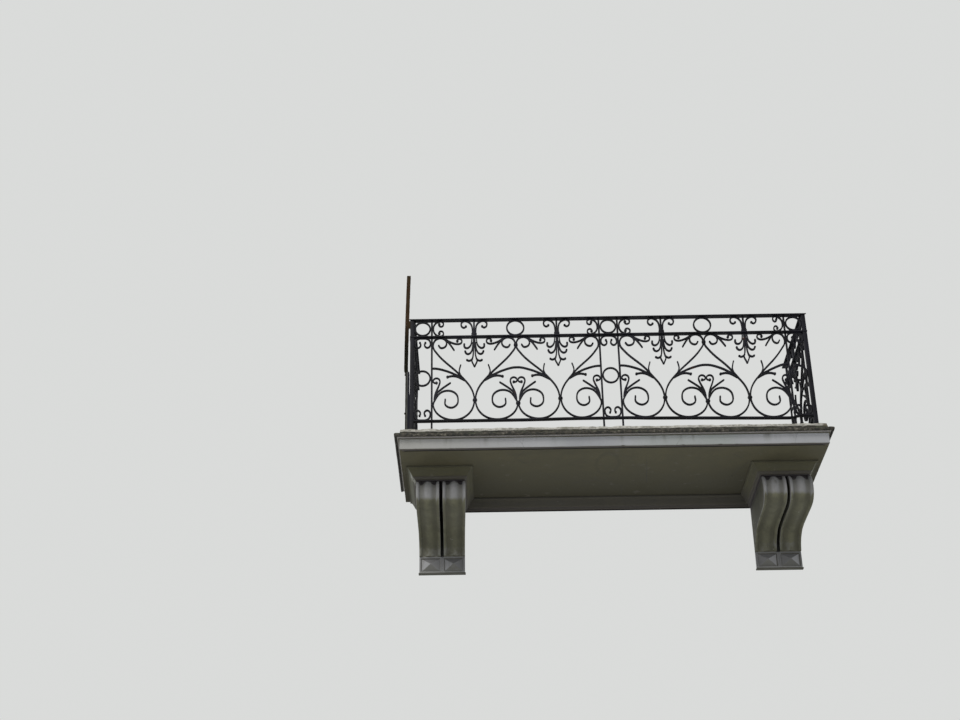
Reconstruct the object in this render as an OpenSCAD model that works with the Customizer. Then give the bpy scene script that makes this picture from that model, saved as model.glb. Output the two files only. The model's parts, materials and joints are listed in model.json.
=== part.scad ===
// Wrought iron balcony on a moulded stone slab, carried by two pairs of scroll consoles.
// The wall plane is y = 0 and the balcony stands out towards -y. The origin is the
// middle of the slab's back face: x = 0 is the balcony's centre line.

/* [Slab] */
// Width of the slab over its nosing
slab_w = 3236; // [3200:1:3280]
// How far the nosing stands out from the wall
slab_depth = 990; // [960:1:1010]
// Thickness of the slab, from the nosing's top to the soffit
slab_t = 112; // [104:1:130]
// Height of the nosing
nosing_h = 36; // [28:1:44]
// How far the nosing oversails the fascia
nosing_out = 40; // [30:1:50]
// Thickness of the cement screed on the slab
screed_t = 42; // [30:1:50]
// How far the screed is set back from the nosing
screed_back = 38; // [20:1:60]

/* [Railing] */
// Height of the handrail's top over the slab
rail_h = 1040; // [1030:1:1050]
// Width of the flat handrail
handrail_w = 40; // [36:1:44]
// Thickness of the flat handrail
handrail_t = 9; // [8:1:12]
// Width of the flat frieze rail, which is punched for the corner posts too
frieze_rail_w = 36; // [34:1:38]
// Width of the flat bottom rail, between the corner posts
bottom_rail_w = 26; // [20:1:30]
// Thickness of the frieze rail and the bottom rail
rail_t = 8; // [7:1:10]
// Top of the frieze rail over the slab
frieze_z = 890; // [884:1:896]
// Top of the bottom rail over the slab
bottom_z = 168; // [160:1:176]
// Side of the square bars
bar = 14; // [12:1:16]
// Side of the square corner posts
corner = 32; // [28:1:32]
// Distance of the corner posts from the slab's ends, and of the railing from the slab's front
rail_end = 111; // [100:1:120]
rail_inset = 140; // [130:1:150]
// How far the railing stands to the right of the slab's middle
rail_shift = 12; // [0:1:20]
// Clear width of the narrow panels at the corners
corner_gap = 127; // [120:1:134]
// Clear width of the narrow panel in the middle
centre_gap = 128; // [120:1:136]

/* [Scrollwork] */
// Thickness of the scroll bars, across the curve
scroll_t = 10; // [9:0.5:11]
// Depth of the scroll bars, front to back
scroll_w = 14; // [12:1:16]
// Thickness of the leaves at their root
root_t = 12; // [11:0.5:13]
// Thickness of the leaves at their tip
tip_t = 7; // [6:0.5:8]
// Radius of the knobs that end the small scrolls
knob_r = 8; // [6.5:0.5:8.5]
// Radius of the turned bosses over the crossings
boss_r = 14; // [12:0.5:16]

/* [Consoles] */
// Width of one console at the wall
console_w = 163; // [150:1:175]
// Gap between the two consoles of a pair at the wall
console_gap = 24; // [16:1:40]
// How much wider a pair is at its front than at the wall
pair_spread = 18; // [0:1:24]
// Distance of a console pair's middle from the centre line
pair_x = 1292; // [1280:1:1300]
// How far the moulding under the slab stands out
mould_out = 66; // [62:1:70]
// Height of that moulding
mould_h = 98; // [92:1:104]
// How far a console stands out where it meets the moulding
console_out = 600; // [590:1:610]
// Depth of the two flutes down a console's face
flute_d = 13; // [8:1:16]
// Height of the wall plate under each pair
plate_h = 138; // [130:1:146]

/* [Upright] */
// Height of the loose rusty bar's top over the slab
upright_top = 1442; // [1400:1:1480]
// Height of the steel angle that holds it
angle_top = 580; // [560:1:600]
// Leg of the steel angle
angle_leg = 33; // [30:1:38]
// Width of the rusty bar
upright_w = 24; // [20:1:28]
// How far the rusty bar's top is bent towards the railing
upright_bend = 11; // [0:1:14]

/* [Hidden] */
$fn = 48;

iron = "#26282b";
stone = "#8f9193";
cement = "#a9a89f";
zinc = "#6d6f70";
rust = "#6b3f35";

slab_top = slab_t / 2;
soffit = -slab_t / 2;
floor_z = slab_top + screed_t;
half_w = slab_w / 2;
fascia_x = half_w - nosing_out;

handrail_z = slab_top + rail_h - handrail_t;
frieze_top = slab_top + frieze_z;
bottom_top = slab_top + bottom_z;

// Plan of the railing: the post and bar centres along the front and along each side, with x
// measured from the railing's own middle
rail_y = -(slab_depth - rail_inset);
corner_x = half_w - rail_end;
centre_bar_x = (centre_gap + bar) / 2;
front_bar_x = corner_x - corner / 2 - corner_gap - bar / 2;
loop_w = (front_bar_x - centre_bar_x - bar) / 4;
side_bar_y = rail_y + corner / 2 + corner_gap + bar / 2;
wall_bar_y = side_bar_y + bar + 2 * loop_w;

// Heights of the scrollwork over the slab: it fills the space from the bottom rail to the
// underside of the frieze rail, and the frieze the space from there to the handrail
panel_top = frieze_z - rail_t;
frieze_h = rail_h - handrail_t - frieze_z;

// A scroll that meets a bar or rail bites this far into it and is cut off flush there
bite = 0.5;
touch = scroll_t / 2 - bite;

// The moulding's top is at the soffit, the consoles hang below it, and the wall plates
// stand under their feet
console_h = 374;
console_top = soffit - mould_h;
plate_gap = 5;
plate_top = console_top - console_h - plate_gap;
pair_w = 2 * console_w + console_gap;

// Geometry helpers

function unit(v) = v / norm(v);
function reverse(pts) = [for (i = [len(pts) - 1:-1:0]) pts[i]];
function flip_x(pts) = [for (p = pts) [-p[0], p[1]]];
function shift(pts, by) = [for (p = pts) p + by];
function turn_between(a, b) = acos(max(-1, min(1, unit(a) * unit(b))));

// A profile drawn on the right-hand side only, closed to its mirror image
function both_sides(pts) = concat(pts, reverse(flip_x(pts)));

// Points on an oval about c from angle a0 to a1, in n steps
function oval(c, rx, rz, a0, a1, n) =
  [for (i = [0:n]) let (a = a0 + (a1 - a0) * i / n) c + [rx * cos(a), rz * sin(a)]];

// Keys of a volute about c: radii has its radius at each eighth of a turn from angle a0.
// way is 1 for anticlockwise and -1 for clockwise.
function volute(c, a0, way, radii) =
  [for (i = [0:len(radii) - 1]) let (a = a0 + way * 45 * i) c + radii[i] * [cos(a), sin(a)]];

// Tangent of the smooth curve at key i, weighted by the lengths of the two chords
function key_tangent(k, i) =
  i == 0 ? unit(k[1] - k[0]) :
  i == len(k) - 1 ? unit(k[i] - k[i - 1]) :
  let (before = k[i] - k[i - 1], after = k[i + 1] - k[i], d0 = norm(before), d1 = norm(after))
  unit(before / d0 * d1 + after / d1 * d0);

// Smooth curve through the keys, with a point for about every step degrees of turn
function smooth(k, step = 15) =
  [for (i = [0:len(k) - 2])
    let (m0 = key_tangent(k, i), m1 = key_tangent(k, i + 1), chord = k[i + 1] - k[i], d = norm(chord),
         n = max(1, ceil((turn_between(m0, chord) + turn_between(chord, m1)) / step)))
    for (j = [0:n - 1])
      let (t = j / n, t2 = t * t, t3 = t2 * t)
      (2 * t3 - 3 * t2 + 1) * k[i] + (t3 - 2 * t2 + t) * d * m0
      + (3 * t2 - 2 * t3) * k[i + 1] + (t3 - t2) * d * m1,
   k[len(k) - 1]];

// Outline of a bar bent along pts, drawn down evenly from thickness t0 to t1
function ribbon(pts, t0, t1) =
  let (n = len(pts) - 1,
       half = [for (i = [0:n])
         let (d = unit(pts[min(i + 1, n)] - pts[max(i - 1, 0)]))
         (t0 + (t1 - t0) * i / n) / 2 * [-d[1], d[0]]])
  concat([for (i = [0:n]) pts[i] + half[i]], [for (i = [n:-1:0]) pts[i] - half[i]]);

// A bent bar drawn flat, which may end in a round knob
module bent_bar(keys, t0 = scroll_t, t1 = scroll_t, knob = 0) {
  polygon(ribbon(smooth(keys), t0, t1));
  if (knob > 0) translate(keys[len(keys) - 1]) circle(knob);
}

// Stands a flat drawing (x across, y up) upright in the plane y = 0, with depth w about it
module upright(w) {
  rotate([90, 0, 0]) linear_extrude(w, center = true) children();
}

// Puts a drawing on the front railing: its x = 0 lands at x
module on_front(x) { translate([rail_shift + x, rail_y, slab_top]) children(); }

// The same on the left side's railing, where the drawing runs from the front to the wall
module on_side(y) { translate([rail_shift - corner_x, y, slab_top]) rotate([0, 0, 90]) children(); }

// Mirrors a part of the railing about the railing's middle
module other_side() { translate([2 * rail_shift, 0, 0]) mirror([1, 0, 0]) children(); }

// A flat drawing and its mirror image about the upright line at x
module about(x) {
  children();
  translate([2 * x, 0]) mirror([1, 0]) children();
}

// Slab

// Section of the slab's moulded edge from soffit to top, for a nosing that ends at out:
// fascia, fillet, quirk and rounded nosing
fillet_h = 11;
fillet_out = 9;
quirk_h = 3;
quirk_out = 5;
function edge_profile(out) =
  let (face = out - nosing_out, under = slab_top - nosing_h, fillet = under - quirk_h)
  [[face, soffit], [face, fillet - fillet_h], [face + fillet_out, fillet - fillet_h],
   [face + fillet_out, fillet], [face + quirk_out, fillet], [face + quirk_out, under],
   [out - 6, under], [out - 1, under + 5], [out, under + nosing_h / 2],
   [out - 3, slab_top - 9], [out - 9, slab_top - 3], [out - 18, slab_top]];

module slab() color(stone) difference() {
  intersection() {
    rotate([90, 0, -90]) linear_extrude(slab_w + 2, center = true)
      polygon(concat([[0, soffit]], edge_profile(slab_depth), [[0, slab_top]]));
    rotate([90, 0, 0]) linear_extrude(slab_depth + 1) polygon(both_sides(edge_profile(half_w)));
  }
  drip_groove();
}

// Drip groove under the slab, a little behind the fascia's foot
groove_back = 27;
groove_w = 12;
groove_h = 8;
module drip_groove() {
  translate([0, 0, soffit - 1]) linear_extrude(groove_h + 1) difference() {
    groove_edge(groove_back);
    groove_edge(groove_back + groove_w);
  }
}
module groove_edge(back) {
  translate([-(fascia_x - back), -(slab_depth - nosing_out - back)])
    square([2 * (fascia_x - back), slab_depth]);
}

screed_x = half_w - screed_back;
module screed() color(cement) {
  translate([-screed_x, -(slab_depth - screed_back), slab_top])
    cube([2 * screed_x, slab_depth - screed_back, screed_t]);
}

// Moulding under the slab

// Its section from the foot up, for a top edge at out: fillet, small hollow, second fillet,
// cyma, and the top fillet under the slab
lip_h = 13;
lip_out = 8;
cyma_h = 56;
cyma_out = 44;
function mould_profile(out) =
  let (foot = out - mould_out, cyma = [out - lip_out, soffit - lip_h])
  concat(
    [[foot, console_top], [foot, console_top + 8], [foot + 5, console_top + 10], [foot + 9, console_top + 15]],
    [for (i = [10:-1:0])
      cyma - [cyma_out * i / 10, cyma_h * (1 - cos(18 * i)) / 2]],
    [[out, soffit - lip_h], [out, soffit]]);

// The cap over a pair is as wide at its foot as the pair is at its front
cap_w = pair_w + pair_spread;
module bed_mould_sides(reach) {
  rotate([90, 0, 0]) linear_extrude(reach)
    polygon(both_sides(mould_profile(cap_w / 2 + mould_out)));
}

module bed_mould_cap() {
  intersection() {
    rotate([90, 0, -90]) linear_extrude(cap_w + 2 * mould_out + 2, center = true)
      polygon(concat([[0, console_top]], mould_profile(console_out + mould_out), [[0, soffit]]));
    bed_mould_sides(console_out + mould_out + 1);
  }
}

// The run along the wall butts against the sides of both caps
module bed_mould_left() color(stone) translate([-pair_x, 0, 0]) bed_mould_cap();
module bed_mould_right() color(stone) translate([pair_x, 0, 0]) bed_mould_cap();
module bed_mould_wall() color(stone) difference() {
  rotate([90, 0, -90]) linear_extrude(2 * pair_x, center = true)
    polygon(concat([[0, console_top]], mould_profile(mould_out), [[0, soffit]]));
  for (side = [-1, 1])
    translate([side * pair_x, 1, 0]) bed_mould_sides(mould_out + 2);
}

// Consoles

// Side outline of a console's face, out from the wall and down from its top
console_front = 655;
console_keys = [[console_out, 0], [628, -24], [647, -60], [console_front, -114], [640, -169], [598, -205],
  [540, -220], [440, -226], [330, -231], [215, -239], [150, -254], [97, -287], [63, -324], [45, -console_h]];

// How far the face is cut back at u across the width: a flat band along each edge, then a
// flute, then a rounded rib down the middle
band_w = 10;
flute_x = 31;
function face_cut(u) =
  let (s = min(u, console_w - u))
  s <= band_w ? 0 :
  s < flute_x ? flute_d * (1 - cos(180 * (s - band_w) / (flute_x - band_w))) / 2 :
  flute_d * (1 + cos(180 * (s - flute_x) / (console_w / 2 - flute_x))) / 2;

across = let (n = 5, band = [for (i = [0:3]) band_w + (flute_x - band_w) * i / 3],
              rib = [for (i = [1:n]) flute_x + (console_w / 2 - flute_x) * i / n],
              half = concat([0], band, rib))
  concat(half, [for (i = [len(half) - 2:-1:0]) console_w - half[i]]);

// A point of the console at u across its width, p[0] out and p[1] up from its top. The
// console stands from_middle beside the middle of its pair, which widens to the front.
function console_point(from_middle, u, p) =
  let (wider = 1 + pair_spread / pair_w * p[0] / console_front)
  [(from_middle + u - console_w / 2) * wider, -p[0], console_top + p[1]];

// The fluted console is a skin over upright slices: each slice is the side outline, cut
// back along the outline's own normal, with its two ends kept at the top and the foot. The
// two sides are fans round side_middle, a point that sees their whole outline.
side_middle = [60, -150];
module console(from_middle) {
  face = smooth(console_keys, 13);
  last = len(face) - 1;
  normal = [for (j = [0:last])
    j == 0 || j == last ? [1, 0] :
    let (d = unit(face[j + 1] - face[j - 1])) [-d[1], d[0]]];
  n = last + 3;
  slices = [for (u = across)
    let (slice = concat([[0, 0]], face - face_cut(u) * normal, [[0, -console_h]]))
    for (p = slice) console_point(from_middle, u, p)];
  middles = [for (u = [0, console_w]) console_point(from_middle, u, side_middle)];
  skin = [for (i = [0:len(across) - 2], j = [0:n - 1])
    let (a = i * n + j, b = i * n + (j + 1) % n)
    each [[a, a + n, b + n], [a, b + n, b]]];
  first_side = [for (j = [0:n - 1]) [len(slices), j, (j + 1) % n]];
  row = (len(across) - 1) * n;
  last_side = [for (j = [0:n - 1]) [len(slices) + 1, row + (j + 1) % n, row + j]];
  polyhedron(concat(slices, middles), concat(first_side, last_side, skin));
}

console_offset = (console_w + console_gap) / 2;
module console_left_outer() color(stone) translate([-pair_x, 0, 0]) console(-console_offset);
module console_left_inner() color(stone) translate([-pair_x, 0, 0]) console(console_offset);
module console_right_inner() color(stone) translate([pair_x, 0, 0]) console(-console_offset);
module console_right_outer() color(stone) translate([pair_x, 0, 0]) console(console_offset);

// Wall plates

// Each has two framed panels, with a diamond point on each sunk field. A narrow web goes up
// from it between the two consoles, and it stands on a strip that sticks out at the front
// and ends.
plate_out = 30;
frame_w = 13;
field_sink = 8;
diamond_out = 22;
diamond_margin = 2;
foot_h = 9;
foot_out = 7;
foot_over = 5;
joint_w = 3;
body_h = plate_h - foot_h;
panel_w = (pair_w - frame_w) / 2;
field_w = panel_w - 2 * frame_w;
field_h = body_h - 2 * frame_w;
module diamond_point(w, h) {
  intersection() {
    rotate([90, 0, -90]) linear_extrude(w, center = true)
      polygon([[0, -h / 2], [diamond_out, 0], [0, h / 2]]);
    linear_extrude(h, center = true) polygon([[-w / 2, 0], [0, -diamond_out], [w / 2, 0]]);
  }
}
module wall_plate() {
  translate([0, -plate_out, plate_top - body_h]) difference() {
    translate([-pair_w / 2, 0, 0]) cube([pair_w, plate_out, body_h + plate_gap]);
    at_panels() translate([-field_w / 2, -1, -field_h / 2]) cube([field_w, field_sink + 1, field_h]);
    translate([-joint_w / 2, -1, -1]) cube([joint_w, joint_w + 1, body_h + plate_gap + 2]);
  }
  translate([0, field_sink - plate_out, plate_top - body_h])
    at_panels() diamond_point(field_w - 2 * diamond_margin, field_h - 2 * diamond_margin);
  translate([-console_gap / 2, -plate_out, plate_top])
    cube([console_gap, plate_out, plate_gap + console_h]);
  translate([-pair_w / 2 - foot_over, -plate_out - foot_out, plate_top - plate_h])
    cube([pair_w + 2 * foot_over, plate_out + foot_out, foot_h]);
}
// The middles of the two panels, from the foot of the plate's body
module at_panels() {
  for (side = [-1, 1]) translate([side * (panel_w + frame_w / 2) / 2, 0, body_h / 2]) children();
}
module wall_plate_left() color(stone) translate([-pair_x, 0, 0]) wall_plate();
module wall_plate_right() color(stone) translate([pair_x, 0, 0]) wall_plate();

// Posts and bars

module square_bar(x, y, side) {
  translate([rail_shift + x - side / 2, y - side / 2, floor_z]) cube([side, side, handrail_z - floor_z]);
}

module corner_post_left() color(iron) square_bar(-corner_x, rail_y, corner);
module corner_post_right() color(iron) square_bar(corner_x, rail_y, corner);

module front_bars() color(iron)
  for (x = [-front_bar_x, -centre_bar_x, centre_bar_x, front_bar_x])
    square_bar(x, rail_y, bar);

module side_bars_right() color(iron)
  for (y = [side_bar_y, wall_bar_y]) square_bar(corner_x, y, bar);
module side_bars_left() color(iron) other_side() side_bars_right();

// Rails

// The handrail is mitred over the corner posts
module handrail_front() color(iron) translate([rail_shift, rail_y, handrail_z]) linear_extrude(handrail_t)
  polygon([[-corner_x - handrail_w / 2, -handrail_w / 2], [corner_x + handrail_w / 2, -handrail_w / 2],
    [corner_x - handrail_w / 2, handrail_w / 2], [-corner_x + handrail_w / 2, handrail_w / 2]]);

module handrail_right() color(iron)
  translate([rail_shift + corner_x, 0, handrail_z]) linear_extrude(handrail_t) polygon([[handrail_w / 2, rail_y - handrail_w / 2], [handrail_w / 2, 0],
    [-handrail_w / 2, 0], [-handrail_w / 2, rail_y + handrail_w / 2]]);
module handrail_left() color(iron) other_side() handrail_right();

// The frieze rail is punched for the posts and the bars, and its side rails butt against the
// front one. The bottom rail runs between the posts and is punched for the bars.
module rail_front(reach, width, top) difference() {
  translate([rail_shift - reach, rail_y - width / 2, top - rail_t]) cube([2 * reach, width, rail_t]);
  front_bars();
  corner_post_left();
  corner_post_right();
}
module rail_right(front, width, top) difference() {
  translate([rail_shift + corner_x - width / 2, front, top - rail_t]) cube([width, -front, rail_t]);
  side_bars_right();
}
module frieze_rail_front() color(iron) rail_front(corner_x + frieze_rail_w / 2, frieze_rail_w, frieze_top);
module frieze_rail_right() color(iron) rail_right(rail_y + frieze_rail_w / 2, frieze_rail_w, frieze_top);
module frieze_rail_left() color(iron) other_side() frieze_rail_right();
module bottom_rail_front() color(iron) rail_front(corner_x - corner / 2, bottom_rail_w, bottom_top);
module bottom_rail_right() color(iron) rail_right(rail_y + corner / 2, bottom_rail_w, bottom_top);
module bottom_rail_left() color(iron) other_side() bottom_rail_right();

// Scrollwork

// One loop is drawn from the bar's face at x = 0 to the pendant's axis at x = loop_w. Some
// keys are heights over the bottom rail and some are depths under the frieze rail.
function over_bottom(pts) = shift(pts, [0, bottom_z]);
function under_frieze(pts) = shift(pts, [0, panel_top]);

// The long bar: a large volute that opens into an egg-shaped loop between bar and axis, a
// straight run back to the bar, and a small volute under the frieze rail
loop_touch = 138;
axis_touch = 170;
main_keys = concat(
  over_bottom(volute([141, 178], 180, 1, [46, 64, 70, 60, 50, 56, 70, 94, 122])),
  over_bottom(oval([loop_w / 2, loop_touch], loop_w / 2 - touch, loop_touch - touch, 180, 270, 4)),
  over_bottom(oval([loop_w / 2, axis_touch], loop_w / 2 - touch, axis_touch - touch, 292.5, 360, 3)),
  over_bottom([[loop_w - 14, 236], [loop_w - 39, 292], [loop_w - 79, 347], [loop_w - 114, 390]]),
  under_frieze([[30, -136], [8, -100]]),
  under_frieze(volute([60, -55], 180, -1, [60 - touch, 52, 55 - touch, 49, 46, 42, 35, 21])));

// The stem scroll that rises from the long bar, and its leaf
stem_keys = over_bottom(concat([[13, 176], [16, 206], [24, 238], [38, 273], [50, 306]],
  volute([29, 332], 0, 1, [26, 27, 28, 27, 25, 18, 12])));
stem_leaf = over_bottom([[16, 196], [34, 236], [62, 263], [98, 292], [133, 318]]);

// The arch from the bar to the long bar, and the leaves beside it
arch_keys = over_bottom([[0, 445], [50, 436], [95, 425], [loop_w - 185, 410], [loop_w - 150, 392],
  [loop_w - 115, 374]]);
arch_leaf_low = over_bottom([[loop_w - 77, 340], [loop_w - 100, 354], [loop_w - 137, 373],
  [loop_w - 175, 377], [loop_w - 205, 370]]);
arch_leaf_high = over_bottom([[loop_w - 106, 384], [loop_w - 116, 415], [loop_w - 113, 442],
  [loop_w - 105, 472]]);

// The small scroll under the frieze rail, and its leaf
upper_keys = under_frieze(concat([[80, -4], [112, -27], [150, -48], [186, -58]],
  volute([204, -31], 270, 1, [27, 27, 27, 26, 23, 18, 12])));
upper_leaf = under_frieze([[108, -26], [138, -68], [163, -110]]);

module loop_drawing() {
  bent_bar(main_keys);
  bent_bar(stem_keys, root_t, tip_t, knob_r);
  bent_bar(stem_leaf, root_t, scroll_t);
  bent_bar(arch_keys, root_t, root_t);
  bent_bar(arch_leaf_low, root_t, root_t, knob_r);
  bent_bar(arch_leaf_high, tip_t, tip_t);
  bent_bar(upper_keys, root_t, tip_t, knob_r);
  bent_bar(upper_leaf, root_t, scroll_t);
}

// The pendant, one half of it, measured from its axis and down from the frieze rail: two
// hooks over a long tongue, which spreads into an open lozenge with an arm at each side
tongue = [[4, 0], [4.5, -60], [7, -120], [8, -160], [11, -180], [17, -198], [20, -210], [17, -228],
  [9, -247], [2, -268]];
fleur_arm = [[15, -196], [28, -210], [44, -216], [56, -213], [63, -209]];
hook_high = [[12, 0], [15, -35], [25, -68], [43, -90], [63, -100], [80, -94], [88, -78], [87, -62]];
hook_low = [[9, -50], [14, -105], [22, -130], [34, -147], [49, -153], [63, -145], [70, -127]];

module pendant_drawing() {
  about(0) {
    bent_bar(tongue, scroll_t, scroll_t - 2);
    bent_bar(fleur_arm, scroll_t, root_t, root_t / 2);
    bent_bar(hook_high, root_t + 1, tip_t - 1);
    bent_bar(hook_low, root_t, tip_t - 1);
  }
}

// Half a bay is two loops that face each other over a pendant
module half_bay_drawing() {
  intersection() {
    union() {
      about(loop_w) loop_drawing();
      translate([loop_w, panel_top]) pendant_drawing();
    }
    translate([0, bottom_z]) square([2 * loop_w, panel_top - bottom_z]);
  }
}

// A turned boss over the crossing of two bars
boss_h = 11;
module boss(x, z) {
  translate([x, 0, z]) rotate([90, 0, 0]) rotate_extrude()
    polygon([[0, -boss_h], [boss_r - 5, -boss_h], [boss_r, 4 - boss_h], [boss_r, boss_h - 4],
      [boss_r - 5, boss_h], [0, boss_h]]);
}

// An olive-shaped bead round two bars that run side by side
bead_r = 13;
bead_h = 40;
module bead(x, z) {
  translate([x, 0, z]) rotate_extrude() polygon(oval([0, 0], bead_r, bead_h / 2, -90, 90, 10));
}

module half_bay_scrolls() {
  upright(scroll_w) half_bay_drawing();
  boss(loop_w, bottom_z + axis_touch);
}

module bay_scrolls() {
  upright(scroll_w) about(2 * loop_w) half_bay_drawing();
  for (x = [loop_w, 3 * loop_w]) boss(x, bottom_z + axis_touch);
  boss(2 * loop_w, bottom_z + loop_touch);
  bead(2 * loop_w, panel_top - 73);
}

module scrolls_front_right() color(iron) on_front(centre_bar_x + bar / 2) bay_scrolls();
module scrolls_front_left() color(iron) other_side() scrolls_front_right();
module scrolls_side_left() color(iron) on_side(side_bar_y + bar / 2) half_bay_scrolls();
module scrolls_side_right() color(iron) other_side() scrolls_side_left();

// Frieze

// Its drawings have y = 0 at the frieze rail. A pair of scrolls leans on each bar, a fork
// stands over each pendant, and a ring fills the middle of a front bay.
frieze_c = frieze_h / 2;
c_scroll = concat([[touch, 0], [8, 25], [22, 49], [45, 63]],
  volute([62, 40], 90, -1, [frieze_c - 40 - touch, 23, 20, 20, 20, 17, 12]));
fork_arm = concat([[11, 0], [11, frieze_h - 76], [17, frieze_h - 47], [31, frieze_h - 23], [52, frieze_h - 9]],
  volute([76, frieze_h - 39], 90, -1, [39 - touch, 28, 23, 23, 24, 19]));

module ring(x, z, r) {
  translate([x, z]) difference() {
    circle(r);
    circle(r - scroll_t);
  }
}

module c_scroll_drawing() {
  translate([0, frieze_c]) for (side = [0, 1])
    mirror([0, side]) bent_bar(c_scroll, scroll_t, tip_t, knob_r);
}
module fork_drawing() {
  about(0) bent_bar(fork_arm, scroll_t, scroll_t, knob_r);
  bent_bar([[0, 0], [0, frieze_h]], root_t, root_t);
}

module frieze_half_bay_drawing(closing_scrolls) {
  c_scroll_drawing();
  translate([loop_w, 0]) fork_drawing();
  if (closing_scrolls) translate([2 * loop_w, 0]) mirror([1, 0]) c_scroll_drawing();
  else ring(2 * loop_w, frieze_c, frieze_c + bite);
}

// The collar that binds a fork at its foot
collar_w = 38;
collar_h = 26;
collar_d = scroll_w + 8;
module collar(x) {
  translate([x - collar_w / 2, -collar_d / 2, 0]) cube([collar_w, collar_d, collar_h]);
}

module frieze_panel(width) {
  translate([0, 0, frieze_z]) {
    upright(scroll_w) intersection() {
      children(0);
      square([width, frieze_h]);
    }
    children(1);
  }
}

module frieze_bay() {
  frieze_panel(4 * loop_w) {
    about(2 * loop_w) frieze_half_bay_drawing(false);
    for (x = [loop_w, 3 * loop_w]) collar(x);
  }
}
module frieze_half_bay() {
  frieze_panel(2 * loop_w) {
    frieze_half_bay_drawing(true);
    collar(loop_w);
  }
}

module frieze_front_right() color(iron) on_front(centre_bar_x + bar / 2) frieze_bay();
module frieze_front_left() color(iron) other_side() frieze_front_right();
module frieze_side_left() color(iron) on_side(side_bar_y + bar / 2) frieze_half_bay();
module frieze_side_right() color(iron) other_side() frieze_side_left();

// Narrow panels

// A ring in the frieze, a taller ring in the middle, and a pair of curls at each end. The
// two curls of a pair spring from one arch that lies along the rail.
mid_ring_z = 360;
mid_ring_taller = 5;
function curl(reach) =
  [[0, touch], [28, 6], [reach - 9, 20], [reach, 44], [reach, 65], [reach - 10, 82],
   [reach - 25, 87], [reach - 40, 76], [reach - 44, 58], [reach - 38, 43]];

module oval_disc(rx, rz) { polygon(oval([0, 0], rx, rz, 0, 350, 35)); }

module narrow_panel(gap) {
  half = gap / 2 + bite;
  upright(scroll_w) {
    intersection() {
      translate([0, frieze_z + frieze_c]) ring(0, 0, min(frieze_c + bite, half));
      translate([-gap / 2, frieze_z]) square([gap, frieze_h]);
    }
    intersection() {
      union() {
        translate([0, bottom_z + mid_ring_z]) difference() {
          oval_disc(half, half + mid_ring_taller);
          oval_disc(half - scroll_t, half + mid_ring_taller - scroll_t);
        }
        about(0) {
          translate([0, bottom_z]) bent_bar(curl(gap / 2 - touch));
          translate([0, panel_top]) mirror([0, 1]) bent_bar(curl(gap / 2 - touch));
        }
      }
      translate([-gap / 2, bottom_z]) square([gap, panel_top - bottom_z]);
    }
  }
}
module pilaster_centre() color(iron) on_front(0) narrow_panel(centre_gap);
module pilaster_front_right() color(iron)
  on_front(front_bar_x + (bar + corner_gap) / 2) narrow_panel(corner_gap);
module pilaster_front_left() color(iron) other_side() pilaster_front_right();
module pilaster_side_left() color(iron)
  on_side(side_bar_y - (bar + corner_gap) / 2) narrow_panel(corner_gap);
module pilaster_side_right() color(iron) other_side() pilaster_side_left();

// The steel angle and the rusty bar at the left corner

// The angle has one leg flat against the post and the other flush with the post's front
angle_t = 4;
angle_x = rail_shift - corner_x - corner / 2 - angle_leg;
angle_y = rail_y - corner / 2;
module upright_angle() color(zinc) translate([angle_x, angle_y, floor_z]) {
  cube([angle_leg, angle_t, angle_top - screed_t]);
  translate([angle_leg - angle_t, 0, 0]) cube([angle_t, angle_leg, angle_top - screed_t]);
}

// The bar stands behind the front leg, sticks out past it a little, and is bent at the top
upright_t = 8;
bar_past = 3;
upright_x = angle_x - bar_past + upright_w / 2;
upright_keys = [[0, screed_t], [0, 640], [upright_bend / 4, 950], [upright_bend, upright_top]];
module upright_bar() color(rust)
  translate([upright_x, angle_y + angle_t + upright_t / 2, slab_top])
    upright(upright_t) bent_bar(upright_keys, upright_w, upright_w);

// Two bolts clamp the bar: each has its head on the bar's outer edge, and its shank goes
// behind the bar to the leg on the post
bolt_z = [233, 562];
bolt_d = 8;
bolt_head = 15;
bolt_head_t = 6;
bolt_y = angle_y + angle_t + upright_t + bolt_d / 2 + 1;
module upright_clamps() color(zinc)
  for (z = bolt_z) translate([angle_x - bar_past, bolt_y, slab_top + z]) rotate([0, 90, 0]) {
    translate([0, 0, -bolt_head_t]) cylinder(d = bolt_head, h = bolt_head_t, $fn = 6);
    cylinder(d = bolt_d, h = bar_past + angle_leg - angle_t);
  }

slab();
screed();
bed_mould_left();
bed_mould_right();
bed_mould_wall();
console_left_outer();
console_left_inner();
console_right_inner();
console_right_outer();
wall_plate_left();
wall_plate_right();
handrail_front();
handrail_left();
handrail_right();
frieze_rail_front();
frieze_rail_left();
frieze_rail_right();
bottom_rail_front();
bottom_rail_left();
bottom_rail_right();
corner_post_left();
corner_post_right();
front_bars();
side_bars_left();
side_bars_right();
scrolls_front_left();
scrolls_front_right();
scrolls_side_left();
scrolls_side_right();
frieze_front_left();
frieze_front_right();
frieze_side_left();
frieze_side_right();
pilaster_centre();
pilaster_front_left();
pilaster_front_right();
pilaster_side_left();
pilaster_side_right();
upright_angle();
upright_bar();
upright_clamps();
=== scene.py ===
# %% [markdown]
# # A wrought iron balcony
# The balcony is a moulded stone slab on two pairs of scroll consoles, with a railing of
# forged scrollwork on three sides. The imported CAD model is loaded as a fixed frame, and each
# of its nodes is then replaced by a finer surface in the same place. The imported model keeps
# the sizes, so every place below is read from it or repeated in millimetres.

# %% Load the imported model
import json
import math

import bmesh
import bpy
import numpy as np
from mathutils import Matrix, Vector

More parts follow.
